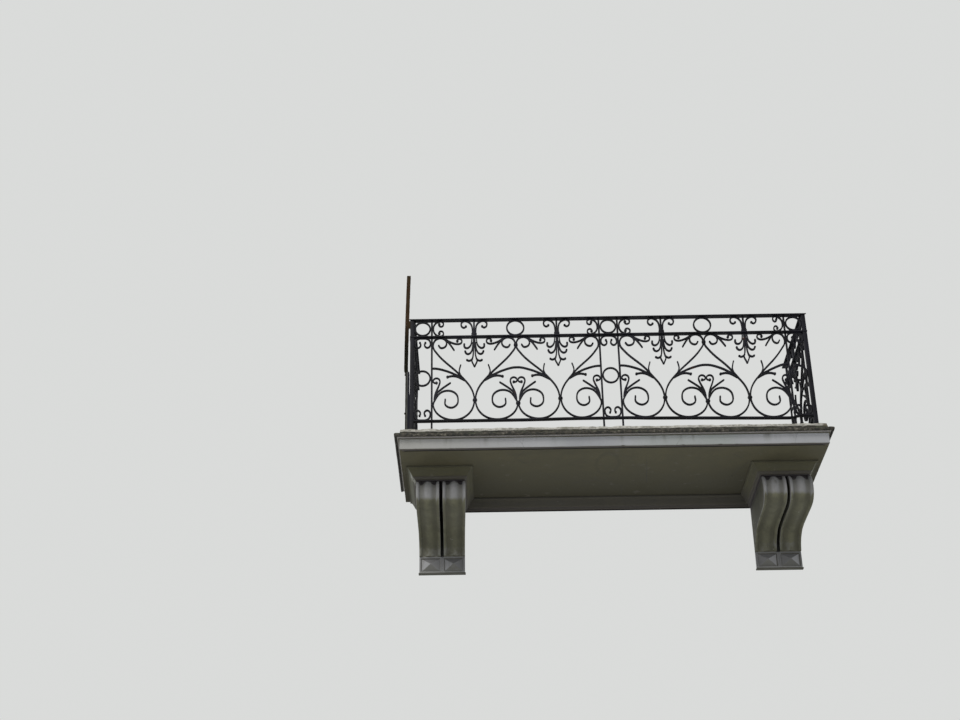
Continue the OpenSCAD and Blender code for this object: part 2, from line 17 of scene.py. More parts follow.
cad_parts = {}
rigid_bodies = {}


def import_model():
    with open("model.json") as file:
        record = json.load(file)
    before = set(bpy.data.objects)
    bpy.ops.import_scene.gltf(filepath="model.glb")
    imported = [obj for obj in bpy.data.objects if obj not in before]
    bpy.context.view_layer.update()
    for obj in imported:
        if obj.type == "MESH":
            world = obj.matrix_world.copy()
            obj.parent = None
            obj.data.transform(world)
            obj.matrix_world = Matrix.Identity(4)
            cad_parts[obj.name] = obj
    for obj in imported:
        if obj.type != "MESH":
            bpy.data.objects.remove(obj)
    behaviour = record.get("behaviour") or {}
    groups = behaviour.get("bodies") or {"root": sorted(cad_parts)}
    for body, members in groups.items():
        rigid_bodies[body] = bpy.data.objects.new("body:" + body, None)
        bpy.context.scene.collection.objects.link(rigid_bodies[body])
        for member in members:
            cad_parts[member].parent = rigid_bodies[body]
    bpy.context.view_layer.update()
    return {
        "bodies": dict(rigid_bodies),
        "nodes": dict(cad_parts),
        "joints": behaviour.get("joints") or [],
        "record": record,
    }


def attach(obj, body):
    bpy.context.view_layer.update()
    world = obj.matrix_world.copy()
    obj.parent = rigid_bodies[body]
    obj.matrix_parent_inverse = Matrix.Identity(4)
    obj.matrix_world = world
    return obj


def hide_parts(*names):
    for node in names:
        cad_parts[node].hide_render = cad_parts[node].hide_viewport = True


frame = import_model()
MM = 0.001

# %% [markdown]
# ## The camera
# The photograph was taken from the street, so the camera stands five metres under the slab
# and looks up by thirty degrees. A look direction and a roll give its three axes, and a
# matrix of those axes sets it in one step.

# %% Stand the camera in the street
CAMERA_PLACE = (-0.9543, -11.3891, -5.1323)
CAMERA_PITCH = 0.5082
CAMERA_YAW = -0.0022
CAMERA_ROLL = 0.0144
CAMERA_LENS = 59.32


def camera_axes(pitch, yaw, roll):
    """Right, up and back of a camera that looks along +Y, turned up by pitch, aside by yaw
    and about its own line of sight by roll."""
    ahead = np.array([math.sin(yaw) * math.cos(pitch), math.cos(yaw) * math.cos(pitch), math.sin(pitch)])
    right = np.array([math.cos(yaw), -math.sin(yaw), 0.0])
    down = np.cross(ahead, right)
    turned = math.cos(roll) * right + math.sin(roll) * down
    return turned, math.sin(roll) * right - math.cos(roll) * down, -ahead


camera = bpy.data.objects.new("street_camera", bpy.data.cameras.new("street_camera"))
bpy.context.scene.collection.objects.link(camera)
bpy.context.scene.camera = camera
camera.data.lens = CAMERA_LENS
camera.data.clip_end = 200.0
pose = np.eye(4)
pose[:3, :3] = np.array(camera_axes(CAMERA_PITCH, CAMERA_YAW, CAMERA_ROLL)).T
pose[:3, 3] = CAMERA_PLACE
camera.matrix_world = Matrix(pose.tolist())

# %% [markdown]
# ## Sizes
# These are the sizes of the real balcony in millimetres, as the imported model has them. The
# wall is y = 0. The railing stands 140 mm behind the front of the nosing, and 12 mm to the
# right of the slab's middle, so its own places are measured from its own middle.

# %% Sizes in millimetres
SLAB_TOP = 56.0
SOFFIT = -56.0
HALF_W = 1618.0
DEPTH = 990.0
FLOOR = 98.0
RAIL_SHIFT = 12.0
CORNER_X = 1507.0
RAIL_Y = -850.0
BAR = 14.0
POST = 32.0
HANDRAIL_Z = 1087.0
FRIEZE_TOP = 946.0
BOTTOM_TOP = 224.0
FRIEZE_RAIL_W = 40.0
BOTTOM_RAIL_W = 34.0
CENTRE_BAR_X = 71.0
FRONT_BAR_X = 1357.0
LOOP_W = (FRONT_BAR_X - CENTRE_BAR_X - BAR) / 4
SIDE_BAR_Y = -700.0
WALL_BAR_Y = -50.0
MOULD_FOOT = -154.0
PAIR_X = 1292.0
CONSOLE_W = 163.0
CONSOLE_GAP = 24.0
PAIR_W = 2 * CONSOLE_W + CONSOLE_GAP
PAIR_SPREAD = 18.0

# %% [markdown]
# ## Noise
# Old stone and forged iron are never quite even. A lattice of random numbers, blended
# smoothly between its points, gives a bumpy field that can be read at any place. It is the
# same every time, because the lattice comes from one seed.

# %% A smooth random field
random_field = np.random.default_rng(12).random((64, 64, 64))


def unevenness(points, size):
    """A value from -1 to 1 at each point: the random lattice, with cells of the given size
    in mm, blended between the eight corners of a cell by 3t^2 - 2t^3."""
    place = np.asarray(points, float) / size + 1000.0
    cell = np.floor(place).astype(int)
    t = place - cell
    t = t * t * (3.0 - 2.0 * t)
    total = np.zeros(len(place))
    for corner in np.ndindex(2, 2, 2):
        index = (cell + corner) % 64
        weight = np.prod(np.where(corner, t, 1.0 - t), axis=1)
        total += weight * random_field[index[:, 0], index[:, 1], index[:, 2]]
    return 2.0 * total - 1.0


def rough(points, size, octaves=3):
    """The sum of unevenness at ever smaller sizes, each half as strong as the last."""
    return sum(unevenness(points, size / 2**k) / 2**k for k in range(octaves))


def ramp(x, low, high):
    """0 below low, 1 above high, and 3t^2 - 2t^3 between."""
    t = np.clip((x - low) / (high - low), 0, 1)
    return t * t * (3 - 2 * t)


# %% [markdown]
# ## From arrays to meshes
# Every piece here is a grid of points: rows run along the piece and columns run round it. A
# sheet of quads joins them, and flat lids close the ends. Several grids may go into one
# piece, as the bars of one panel of scrollwork do.

# %% Grids, lids and pieces


class Grids:
    """Collects grids of points in mm, and makes one mesh of them."""

    def __init__(self):
        self.points = []
        self.quads = []
        self.lids = []
        self.values = []
        self.count = 0

    def add(self, grid, around=True, lids=True, value=0.0):
        """grid has the shape (rows, columns, 3). around joins the last column to the first,
        and lids then close both ends. value is kept at each point, for the material."""
        rows, cols = grid.shape[:2]
        first = self.count
        index = first + np.arange(rows * cols).reshape(rows, cols)
        beside = np.roll(index, -1, axis=1) if around else index[:, 1:]
        here = index if around else index[:, :-1]
        quads = np.stack([here[:-1], beside[:-1], beside[1:], here[1:]], axis=-1)
        self.points.append(grid.reshape(-1, 3))
        self.quads.append(quads.reshape(-1, 4))
        if lids and around:
            self.lids.append(index[0, ::-1])
            self.lids.append(index[-1])
        self.values.append(np.broadcast_to(np.asarray(value, float), (rows, cols)).reshape(-1))
        self.count += rows * cols

    def copy(self, change, inside_out=False):
        """A copy with change applied to the array of points. inside_out turns the faces
        round, which a mirror image needs."""
        other = Grids()
        way = -1 if inside_out else 1
        other.points = [change(p) for p in self.points]
        other.quads = [q[:, ::way] for q in self.quads]
        other.lids = [lid[::way] for lid in self.lids]
        other.values = list(self.values)
        other.count = self.count
        return other

    def take(self, *others):
        """Adds the grids of others."""
        for other in others:
            self.points += other.points
            self.quads += [q + self.count for q in other.quads]
            self.lids += [lid + self.count for lid in other.lids]
            self.values += other.values
            self.count += other.count
        return self


def make_piece(name, grids, material, nodes, smooth=35.0, weld=False):
    """A mesh object of the grids, in metres. It rides on the one body, stands for nodes and
    takes its finish from a material slot. Faces are shaded smooth, up to the angle smooth
    between neighbours. weld merges the points that meet and closes what is open."""
    mesh = bpy.data.meshes.new(name)
    points = np.concatenate(grids.points) * MM
    faces = np.concatenate(grids.quads).tolist() + [lid.tolist() for lid in grids.lids]
    mesh.from_pydata(points.tolist(), [], faces)
    wear = mesh.attributes.new("wear", "FLOAT", "POINT")
    wear.data.foreach_set("value", np.concatenate(grids.values).astype(np.float32))
    if weld:
        weld_and_close(mesh)
    mesh.validate()
    mesh.shade_smooth()
    mesh.set_sharp_from_angle(angle=math.radians(smooth))
    piece = bpy.data.objects.new(name, mesh)
    bpy.context.scene.collection.objects.link(piece)
    mesh.materials.append(material)
    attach(piece, "root")
    if nodes:
        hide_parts(*nodes)
    mesh.calc_loop_triangles()
    print(name, len(mesh.loop_triangles), "triangles")


def weld_and_close(mesh):
    """Merges points that meet and fills the openings that are left."""
    build = bmesh.new()
    build.from_mesh(mesh)
    bmesh.ops.remove_doubles(build, verts=build.verts, dist=0.00002)
    bmesh.ops.dissolve_degenerate(build, edges=build.edges, dist=0.00001)
    open_edges = [e for e in build.edges if e.is_boundary]
    if open_edges:
        bmesh.ops.holes_fill(build, edges=open_edges, sides=0)
    bmesh.ops.recalc_face_normals(build, faces=build.faces)
    build.to_mesh(mesh)
    build.free()


# %% [markdown]
# ## Forged bars
# A smith bends a flat bar edge-on into scrolls. Here a bar is a smooth curve through a few
# keys with a rounded oblong carried along it, thick across the curve and deep from front to
# back. It may taper, and its ends are rounded off, as hammered ends are.

# %% Curves through keys


def smooth_curve(keys, turn=6.0):
    """Between keys a and b, at t from 0 to 1: (2t^3-3t^2+1)a + (t^3-2t^2+t)A + (3t^2-2t^3)b
    + (t^3-t^2)B. A and B are the tangents there, as long as the chord. At an inner key the
    tangent is the mean of its two chords' directions, the shorter one counting more."""
    keys = np.asarray(keys, float)
    chord = np.diff(keys, axis=0)
    length = np.linalg.norm(chord, axis=1)
    along = chord / length[:, None]
    inner = along[:-1] * length[1:, None] + along[1:] * length[:-1, None]
    tangent = np.vstack([along[:1], inner / np.linalg.norm(inner, axis=1)[:, None], along[-1:]])
    spans = []
    for k in range(len(chord)):
        bend = sum(math.acos(min(1.0, float(tangent[k + e] @ along[k]))) for e in (0, 1))
        steps = max(2, math.ceil(math.degrees(bend) / turn), math.ceil(length[k] / 30.0))
        t = (np.arange(steps) / steps)[:, None]
        spans.append((2 * t**3 - 3 * t**2 + 1) * keys[k] + (t**3 - 2 * t**2 + t) * length[k] * tangent[k]
                     + (3 * t**2 - 2 * t**3) * keys[k + 1] + (t**3 - t**2) * length[k] * tangent[k + 1])
    return np.vstack(spans + [keys[-1:]])


def volute(centre, start, way, radii):
    """Keys of a volute: one for each eighth of a turn from the angle start, at these radii.
    way is 1 for anticlockwise and -1 for clockwise."""
    angle = np.radians(start + way * 45.0 * np.arange(len(radii)))
    return np.array(centre) + np.array(radii)[:, None] * np.stack([np.cos(angle), np.sin(angle)], axis=1)


def oval(centre, rx, rz, start, end, steps):
    """Points centre + (rx cos a, rz sin a) for a from start to end in degrees."""
    angle = np.radians(np.linspace(start, end, steps + 1))
    return np.array(centre) + np.stack([rx * np.cos(angle), rz * np.sin(angle)], axis=1)


# %% A bar along a curve


def oblong(thick, deep, soft=2.2):
    """A rounded oblong, anticlockwise: three points on a quarter circle at each corner, of
    radius soft or less where the bar is thin. thick and deep hold a value for each row."""
    a, b = np.atleast_1d(thick)[:, None] / 2, np.atleast_1d(deep)[:, None] / 2
    radius = np.minimum(soft, np.minimum(a, b) * 0.8)
    corner = 90 * np.repeat(np.arange(4), 3)
    angle = np.radians(np.tile([0, 45, 90], 4) + corner)
    sign_a = np.sign(np.cos(np.radians(45 + corner)))
    sign_b = np.sign(np.sin(np.radians(45 + corner)))
    return np.stack([sign_a * (a - radius) + radius * np.cos(angle),
                     sign_b * (b - radius) + radius * np.sin(angle)], axis=-1)


def forged_bar(path, thick, deep, round_ends=(True, True)):
    """A grid that carries the oblong along path, a curve in x and z. thick and deep are
    (start, end) and change evenly between. A rounded end is the oblong carried on past the
    path's end by r sin a, and shrunk by r(1 - cos a), for four angles a."""
    path = np.asarray(path, float)
    step = np.linalg.norm(np.diff(path, axis=0), axis=1)
    s = np.concatenate([[0.0], np.cumsum(step)]) / step.sum()
    ahead = np.gradient(path, axis=0)
    ahead /= np.linalg.norm(ahead, axis=1)[:, None]
    t = thick[0] + (thick[1] - thick[0]) * s
    d = deep[0] + (deep[1] - deep[0]) * s
    rows = [(path, ahead, t, d)]
    for end, sign in ((0, -1.0), (-1, 1.0)):
        if not round_ends[end]:
            continue
        a = np.radians(np.array([30.0, 55.0, 75.0, 87.0]))[::int(sign)]
        r = t[end] / 2
        cap = (path[end] + sign * r * np.sin(a)[:, None] * ahead[end], np.tile(ahead[end], (4, 1)),
               t[end] * np.cos(a), d[end] - 0.8 * r * (1 - np.cos(a)))
        rows.insert(0 if end == 0 else len(rows), cap)
    path, ahead, t, d = (np.concatenate(part) for part in zip(*rows))
    section = oblong(t, d)
    across = np.stack([-ahead[:, 1], np.zeros(len(path)), ahead[:, 0]], axis=1)
    middle = np.stack([path[:, 0], np.zeros(len(path)), path[:, 1]], axis=1)
    return (middle[:, None] + section[..., :1] * across[:, None]
            - section[..., 1:] * np.array([0.0, 1.0, 0.0]))


def turned(centre, axis, stations, radii, sides=24):
    """A lathe-turned shape: circles of these radii at these stations along the axis
    ('x', 'y' or 'z'), centred on centre."""
    order = {"x": (1, 2, 0), "y": (2, 0, 1), "z": (0, 1, 2)}[axis]
    angle = np.linspace(0, 2 * np.pi, sides, endpoint=False)
    radii = np.asarray(radii, float)[:, None]
    grid = np.zeros((len(stations), sides, 3))
    grid[..., order[0]] = radii * np.cos(angle)
    grid[..., order[1]] = radii * np.sin(angle)
    grid[..., order[2]] = np.asarray(stations, float)[:, None]
    return grid + np.asarray(centre, float)


# %% [markdown]
# ## The scrollwork's drawings
# One loop of the pattern runs from a bar's face at x = 0 to the axis of a pendant at
# x = LOOP_W, and the rest is mirror images of it. Heights count from the slab's top. The keys
# follow the CAD drawing to within a few millimetres, so the finer bars lie in the places
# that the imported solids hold.

# %% The bars of one loop
BOTTOM = BOTTOM_TOP - SLAB_TOP
FRIEZE = FRIEZE_TOP - SLAB_TOP
UNDER_FRIEZE = FRIEZE - 8.0
TOUCH = 4.5
THIN = 12.0
THICK = 14.0
TIP = 10.0
KNOB_R = 10.0
CROSS_HIGH = BOTTOM + 170.0
CROSS_LOW = BOTTOM + 138.0


def over_bottom(*parts):
    """Keys measured up from the bottom rail."""
    return np.vstack(parts) + (0.0, BOTTOM)


def under_frieze(*parts):
    """Keys measured from the underside of the frieze rail, so that heights are negative."""
    return np.vstack(parts) + (0.0, UNDER_FRIEZE)


def loop_bars():
    """(keys, start and end thickness, depth, knob radius) of each bar in one loop."""
    w = LOOP_W
    low = oval([w / 2, 138], w / 2 - TOUCH, 138 - TOUCH, 180, 270, 4)
    high = oval([w / 2, 170], w / 2 - TOUCH, 170 - TOUCH, 292.5, 360, 3)
    long_bar = np.vstack([
        over_bottom(volute([141, 178], 180, 1, [46, 64, 70, 60, 50, 56, 70, 94, 122]), low, high,
                    [[w - 14, 236], [w - 39, 292], [w - 79, 347], [w - 114, 390]]),
        under_frieze([[30, -136], [8, -100]],
                     volute([60, -55], 180, -1, [55.5, 52, 50.5, 49, 46, 42, 35, 21]))])
    stem = over_bottom([[13, 176], [16, 206], [24, 238], [38, 273], [50, 306]],
                       volute([29, 332], 0, 1, [26, 27, 28, 27, 25, 18, 12]))
    stem_leaf = over_bottom([[16, 196], [34, 236], [62, 263], [98, 292], [133, 318]])
    arch = over_bottom([[-2, 445], [22, 444.5], [55, 438], [95, 425], [w - 185, 410], [w - 150, 392],
                        [w - 115, 374]])
    arch_low = over_bottom([[w - 77, 340], [w - 100, 354], [w - 137, 373], [w - 175, 377], [w - 205, 370]])
    arch_high = over_bottom([[w - 106, 384], [w - 116, 415], [w - 113, 442], [w - 105, 472]])
    upper = under_frieze([[80, -4], [112, -27], [150, -48], [186, -58]],
                         volute([200, -32], 270, 1, [26, 25, 24, 23, 20, 16, 11]))
    upper_leaf = under_frieze([[108, -26], [138, -68], [163, -110]])
    return [(long_bar, THIN, THIN, 18.4, 0.0), (stem, THICK, TIP, 17.6, KNOB_R),
            (stem_leaf, THICK, THIN, 16.4, 0.0), (arch, THICK, THICK, 17.2, 0.0),
            (arch_low, THICK, THICK, 16.8, KNOB_R), (arch_high, TIP, TIP, 14.0, 0.0),
            (upper, THICK, TIP, 17.6, KNOB_R), (upper_leaf, THICK, THIN, 16.4, 0.0)]


def pendant_bars():
    """The bars of one half of a pendant: x from its axis, z from the frieze rail down."""
    tongue = [[4, 0], [5, -58], [7, -115], [9, -154], [12, -173], [17, -190], [20, -202],
              [17, -219], [9, -237], [2, -256]]
    arm = [[15, -188], [27, -201], [41, -206], [51, -203], [57, -199]]
    high = [[17, 0], [19, -34], [25, -65], [39, -86], [57, -95], [71, -89], [77, -75], [76, -61]]
    low = [[11, -48], [15, -101], [22, -125], [34, -141], [49, -147], [63, -139], [70, -123]]
    return [(under_frieze(tongue), THIN, THIN - 2, 18.4, 0.0), (under_frieze(arm), THIN, THICK, 17.0, 7.0),
            (under_frieze(high), 8.0, THICK + 1, 17.6, 0.0), (under_frieze(low), 8.0, THICK + 1, 16.6, 0.0)]


def knob(x, z, radius, deep):
    """The rolled end of a scroll: a short round bar from front to back with eased edges."""
    ease = np.array([0.0, 0.35, 0.75, 1.0])
    stations = np.concatenate([-deep / 2 + 2.0 * ease, (deep / 2 - 2.0 * ease)[::-1]])
    circle = np.sqrt(1 - (1 - ease) ** 2)
    radii = radius - 2.0 * (1 - circle)
    return turned([x, 0.0, z], "y", stations, np.concatenate([radii, radii[::-1]]), 20)


def forge(bars):
    """The grids of these bars, in the panel's own x, depth and height."""
    made = Grids()
    for keys, start, end, deep, knob_r in bars:
        path = smooth_curve(keys)
        made.add(forged_bar(path, (start, end), (deep, deep)))
        if knob_r:
            made.add(knob(*keys[-1], knob_r, deep + 1.6))
    return made


def mirrored(grids, x, off=0.0):
    """Its mirror image about the upright line at x, a little in front or behind."""
    return grids.copy(lambda p: p * (-1, 1, 1) + (2 * x, off, 0), inside_out=True)


def boss(x, z):
    """A turned boss, domed at the front and the back, with a groove round its rim."""
    half = np.array([14.0, 13.5, 12.0, 10.0, 9.0, 8.4, 7.4, 5.6, 1.5])
    radius = np.array([2.0, 6.4, 11.0, 13.8, 14.3, 15.6, 16.8, 17.4, 17.4])
    return turned([x, 0.0, z], "y", np.concatenate([-half, half[::-1]]),
                  np.concatenate([radius, radius[::-1]]), 32)


def bead(x, z):
    """An olive: an oval turned about the upright, with a small ring above and below."""
    angle = np.radians(np.linspace(-78, 78, 17))
    stations = np.concatenate([[-24.0, -23.5, -20.2], 19.8 * np.sin(angle), [20.2, 23.5, 24.0]])
    radii = np.concatenate([[8.5, 10.8, 10.8], 16.0 * np.cos(angle) ** 0.7, [10.8, 10.8, 8.5]])
    return turned([x, 0.0, z], "z", stations, radii, 28)


# %% The panels of scrollwork in the railing
loop = forge(loop_bars())
pendant = forge(pendant_bars())
half_bay = Grids().take(loop, mirrored(loop, LOOP_W, 0.3), pendant.copy(lambda p: p + (LOOP_W, 0, 0)),
                        mirrored(pendant, 0.0, 0.25).copy(lambda p: p + (LOOP_W, 0, 0)))
half_bay.add(boss(LOOP_W, CROSS_HIGH))
bay = Grids().take(half_bay, mirrored(half_bay, 2 * LOOP_W, 0.15))
bay.add(boss(2 * LOOP_W, CROSS_LOW))
bay.add(bead(2 * LOOP_W, UNDER_FRIEZE - 73.0))


def by_hand(points):
    """Moves each point by up to 0.7 mm along each axis, as a smith's work varies."""
    wave = [unevenness(points + 300.0 * k, 90.0) for k in range(3)]
    return points + 0.7 * np.stack(wave, axis=1)


def settled(points):
    """The front railing has moved in its long life. Right of the middle its lower half has
    sunk, by 18 mm next to the corner, and its upper half leans 12 mm to the right. Left of
    the middle the foot of the scrolls is 7 mm to the right and rises by 5 mm."""
    x, z = points[:, 0], points[:, 2]
    right = ramp(x, 60, 240) * (1 - ramp(x, 1230, 1340))
    left = ramp(x, -1000, -800) * (1 - ramp(x, -350, -150))
    along = right * (3 + 9 * ramp(z, 540, 700)) + 7 * left * (1 - ramp(z, 560, 760))
    rise = 5 * ramp(x, -700, -200) * (1 - ramp(x, 100, 300))
    sink = 18 * ramp(x, 100, 1500) * (1 - ramp(x, 1340, 1400))
    return points + np.stack([along, 0 * x, (rise - sink) * (1 - ramp(z, 560, 760))], axis=1)


def on_front(grids, x, side=1):
    """Stands a panel in the front railing with its x = 0 at x, or at -x and mirrored."""
    def place(p):
        return settled(by_hand(p * (side, 1, 1) + (RAIL_SHIFT + side * x, RAIL_Y, SLAB_TOP)))
    return grids.copy(place, side < 0)


def on_side(grids, y, side):
    """Stands a panel in a side railing, from y towards the wall. side is -1 for the left."""
    def place(p):
        x = RAIL_SHIFT + side * (CORNER_X - p[:, 1])
        return by_hand(np.stack([x, y + p[:, 0], p[:, 2] + SLAB_TOP], axis=1))
    return grids.copy(place, side < 0)


print("points in one bay of scrollwork", bay.count)

# %% [markdown]
# ## The frieze and the narrow panels
# Under the handrail runs a band of small scrolls: a pair that leans on each bar, a fork over
# each pendant, bound by a collar, and a ring in the middle of a bay. The narrow panels at
# the corners and in the middle have rings too, and a pair of curls at the top and the foot.

# %% The bars of the frieze
FRIEZE_H = HANDRAIL_Z - FRIEZE_TOP
MID = FRIEZE_H / 2


def frieze_bars():
    """The scroll that leans on the bar at x = 0, upper half, measured from mid-height."""
    c = np.vstack([[[TOUCH, 0], [8, 25], [22, 49], [45, 63]],
                   volute([62, 40], 90, -1, [MID - 40 - TOUCH, 23, 20, 20, 20, 17, 12])])
    return [(c, THIN, TIP, 17.6, KNOB_R)]


def fork_bars():
    """One arm of the fork, measured from its axis and the frieze rail."""
    h = FRIEZE_H
    arm = np.vstack([[[12, 0], [13, h - 76], [18, h - 47], [32, h - 23], [52, h - 9]],
                     volute([76, h - 39], 90, -1, [39 - TOUCH, 28, 23, 23, 24, 19])])
    return [(arm, THIN, THIN, 17.2, 8.5)]


def hoop(x, z, rx, rz, deep):
    """A closed ring: the oblong carried round an oval, whose outside has half-axes rx, rz."""
    angle = np.linspace(0, 2 * np.pi, 97)
    path = np.stack([x + (rx - THIN / 2) * np.cos(angle), z + (rz - THIN / 2) * np.sin(angle)], axis=1)
    grid = forged_bar(path, (THIN, THIN), (deep, deep), round_ends=(False, False))
    grid[0] = grid[-1] = (grid[0] + grid[-1]) / 2
    return grid


def collar(x, z0, wide, high, deep):
    """A band that binds bars together: an upright oblong that swells between its two edges,
    with a hollow line round the middle."""
    s = np.array([0, 0.04, 0.12, 0.40, 0.46, 0.50, 0.54, 0.60, 0.88, 0.96, 1.0])
    swell = np.array([-3.0, -1.0, 0, 0, -0.8, -1.6, -0.8, 0, 0, -1.0, -3.0])
    section = oblong(wide + swell, deep + swell, 2.6)
    grid = np.zeros((len(s), section.shape[1], 3))
    grid[..., 0] = x + section[..., 0]
    grid[..., 1] = section[..., 1]
    grid[..., 2] = (z0 + high * s)[:, None]
    return grid


half_c = forge(frieze_bars()).copy(lambda p: p + (0, 0, MID))
half_c_down = half_c.copy(lambda p: p * (1, 1, -1) + (0, 0.2, 2 * MID), inside_out=True)
c_pair = Grids().take(half_c, half_c_down)
fork_arm = forge(fork_bars())
fork = Grids().take(fork_arm, mirrored(fork_arm, 0.0, 0.3))
fork.add(forged_bar([[0, -2], [0, 60], [0, FRIEZE_H + 2]], (THICK, THICK), (16.4, 16.4)))
fork.add(collar(0.0, 0.0, 42.0, 26.0, 25.0))
frieze_half = Grids().take(c_pair, fork.copy(lambda p: p + (LOOP_W, 0, 0)))
frieze_side = Grids().take(frieze_half, mirrored(c_pair, LOOP_W))
frieze_bay = Grids().take(frieze_half, mirrored(frieze_half, 2 * LOOP_W))
frieze_bay.add(hoop(2 * LOOP_W, MID, MID + 0.5, MID + 0.5, 17.6), lids=False)


def lifted(grids):
    """The frieze's drawings start at the frieze rail."""
    return grids.copy(lambda p: p + (0, 0, FRIEZE))


# %% The bars of a narrow panel


def curl_bars(reach):
    """One of a pair of curls that spring from an arch lying on the rail."""
    keys = [[-1, TOUCH], [28, 6], [reach - 9, 20], [reach, 44], [reach, 65], [reach - 10, 82],
            [reach - 25, 87], [reach - 40, 76], [reach - 44, 58], [reach - 38, 43]]
    return [(np.array(keys), THIN, THIN, 17.4, 8.0)]


def narrow_panel(gap):
    """The rings and curls between two upright bars that stand gap apart."""
    half = gap / 2 + 0.5
    made = Grids()
    round_r = min(MID + 0.5, half)
    made.add(hoop(0, FRIEZE + MID, round_r, round_r, 17.6), lids=False)
    made.add(hoop(0, BOTTOM + 360, half, half + 5, 17.6), lids=False)
    curl = forge(curl_bars(gap / 2 - TOUCH))
    pair = Grids().take(curl, mirrored(curl, 0.0, 0.3))
    made.take(pair.copy(lambda p: p + (0, 0, BOTTOM)))
    made.take(pair.copy(lambda p: p * (1, 1, -1) + (0, 0, UNDER_FRIEZE), inside_out=True))
    return made


CORNER_GAP = CORNER_X - POST / 2 - FRONT_BAR_X - BAR / 2
CENTRE_GAP = 2 * CENTRE_BAR_X - BAR
corner_panel = narrow_panel(CORNER_GAP)
centre_panel = narrow_panel(CENTRE_GAP)
print("gaps of the narrow panels", CORNER_GAP, CENTRE_GAP)

# %% [markdown]
# ## Posts, bars and rails
# The uprights are square bars with eased edges. The rails are flats, and the handrail is a
# wider flat with a slightly rounded top, mitred at the corners. Each is an outline carried
# along a straight line, with a row every few centimetres, so that it can be a little uneven.

# %% Straight members


def upright_bar(x, y, z0, z1, wide, deep=None, soft=2.0):
    """A bar, square if deep isn't given: the oblong carried up from z0 to z1."""
    z = np.linspace(z0, z1, max(3, int((z1 - z0) / 25.0)))
    section = oblong(wide, deep or wide, soft)[0]
    grid = np.zeros((len(z), len(section), 3))
    grid[..., 0] = x + section[:, 0]
    grid[..., 1] = y + section[:, 1]
    grid[..., 2] = z[:, None]
    return grid


def flat_run(outline, length0, length1, mitre0=0.0, mitre1=0.0):
    """Carries an outline (across, up) along a line from length0 to length1, as a grid in
    (along, across, up). mitre is how far an end moves along for each mm across."""
    t = np.linspace(0, 1, max(3, int(abs(length1 - length0) / 25.0)))[:, None]
    start = length0 + mitre0 * outline[:, 0]
    stop = length1 + mitre1 * outline[:, 0]
    grid = np.zeros((len(t), len(outline), 3))
    grid[..., 0] = start + (stop - start) * t
    grid[..., 1] = outline[:, 0]
    grid[..., 2] = outline[:, 1]
    return grid


def handrail_outline():
    """48 wide and 12 high, flat below and domed above: up = 8.4 + 3.6 (1 - (across/24)^2)."""
    across = np.linspace(-22.4, 22.4, 15)
    top = np.stack([across, 8.4 + 3.6 * (1 - (across / 24.0) ** 2)], axis=1)
    return np.vstack([[[23.4, 8.5], [24.0, 7.5], [24.0, 1.2], [23.0, 0.0], [-23.0, 0.0],
                       [-24.0, 1.2], [-24.0, 7.5], [-23.4, 8.5]], top])[::-1]


def side_turn(p, side):
    """Along and across become y and x of a side railing."""
    return np.stack([RAIL_SHIFT + side * (CORNER_X - p[:, 1]), p[:, 0], p[:, 2]], axis=1)


def rail_pieces(outline, z, end_x, end_y, mitre):
    """The front run and the two side runs of one rail."""
    front = Grids()
    front.add(flat_run(outline, -end_x, end_x, mitre, -mitre) + (RAIL_SHIFT, RAIL_Y, z))
    front = front.copy(settled)
    run = Grids()
    run.add(flat_run(outline, end_y, 0.0, -mitre, 0.0) + (0, 0, z))
    left = run.copy(lambda p: side_turn(p, -1), inside_out=True)
    right = run.copy(lambda p: side_turn(p, 1))
    return {"front": front, "left": left, "right": right}


def flat_outline(wide, high):
    """A flat bar with its top at 0."""
    return oblong(wide, high, 1.6)[0] + (0.0, -high / 2)


handrail = rail_pieces(handrail_outline(), HANDRAIL_Z, CORNER_X, RAIL_Y, 1.0)
frieze_rail = rail_pieces(flat_outline(FRIEZE_RAIL_W, 11.0), FRIEZE_TOP + 1, CORNER_X + 18, RAIL_Y + 17, 0.0)
bottom_rail = rail_pieces(flat_outline(BOTTOM_RAIL_W, 12.0), BOTTOM_TOP + 2, CORNER_X - 15, RAIL_Y + 15, 0.0)

BAR_FOOT = FLOOR - 6
BAR_TOP = HANDRAIL_Z + 1
posts = {}
side_bars = {}
for side, word in ((-1, "left"), (1, "right")):
    x = RAIL_SHIFT + side * CORNER_X
    posts[word] = Grids()
    posts[word].add(upright_bar(x, RAIL_Y, BAR_FOOT, BAR_TOP, POST, soft=2.6))
    side_bars[word] = Grids()
    for y in (SIDE_BAR_Y, WALL_BAR_Y):
        side_bars[word].add(upright_bar(x, y, BAR_FOOT, BAR_TOP, BAR))
front_bars = Grids()
for x in (-FRONT_BAR_X, -CENTRE_BAR_X, CENTRE_BAR_X, FRONT_BAR_X):
    front_bars.add(upright_bar(RAIL_SHIFT + x, RAIL_Y, BAR_FOOT, BAR_TOP, BAR))
print("rail rows", front_bars.count)

# %% [markdown]
# ## Moulded stone
# The slab, the mouldings under it and the cement on top of it all run round three sides. So
# a profile is given as points (how far in from the front edge, height), and is carried from
# the wall round both corners and back to the wall. Frost and feet have worn it, so the
# profile's points move in and down by the random field, most at the upper edge.

# %% Profiles and the run round three sides


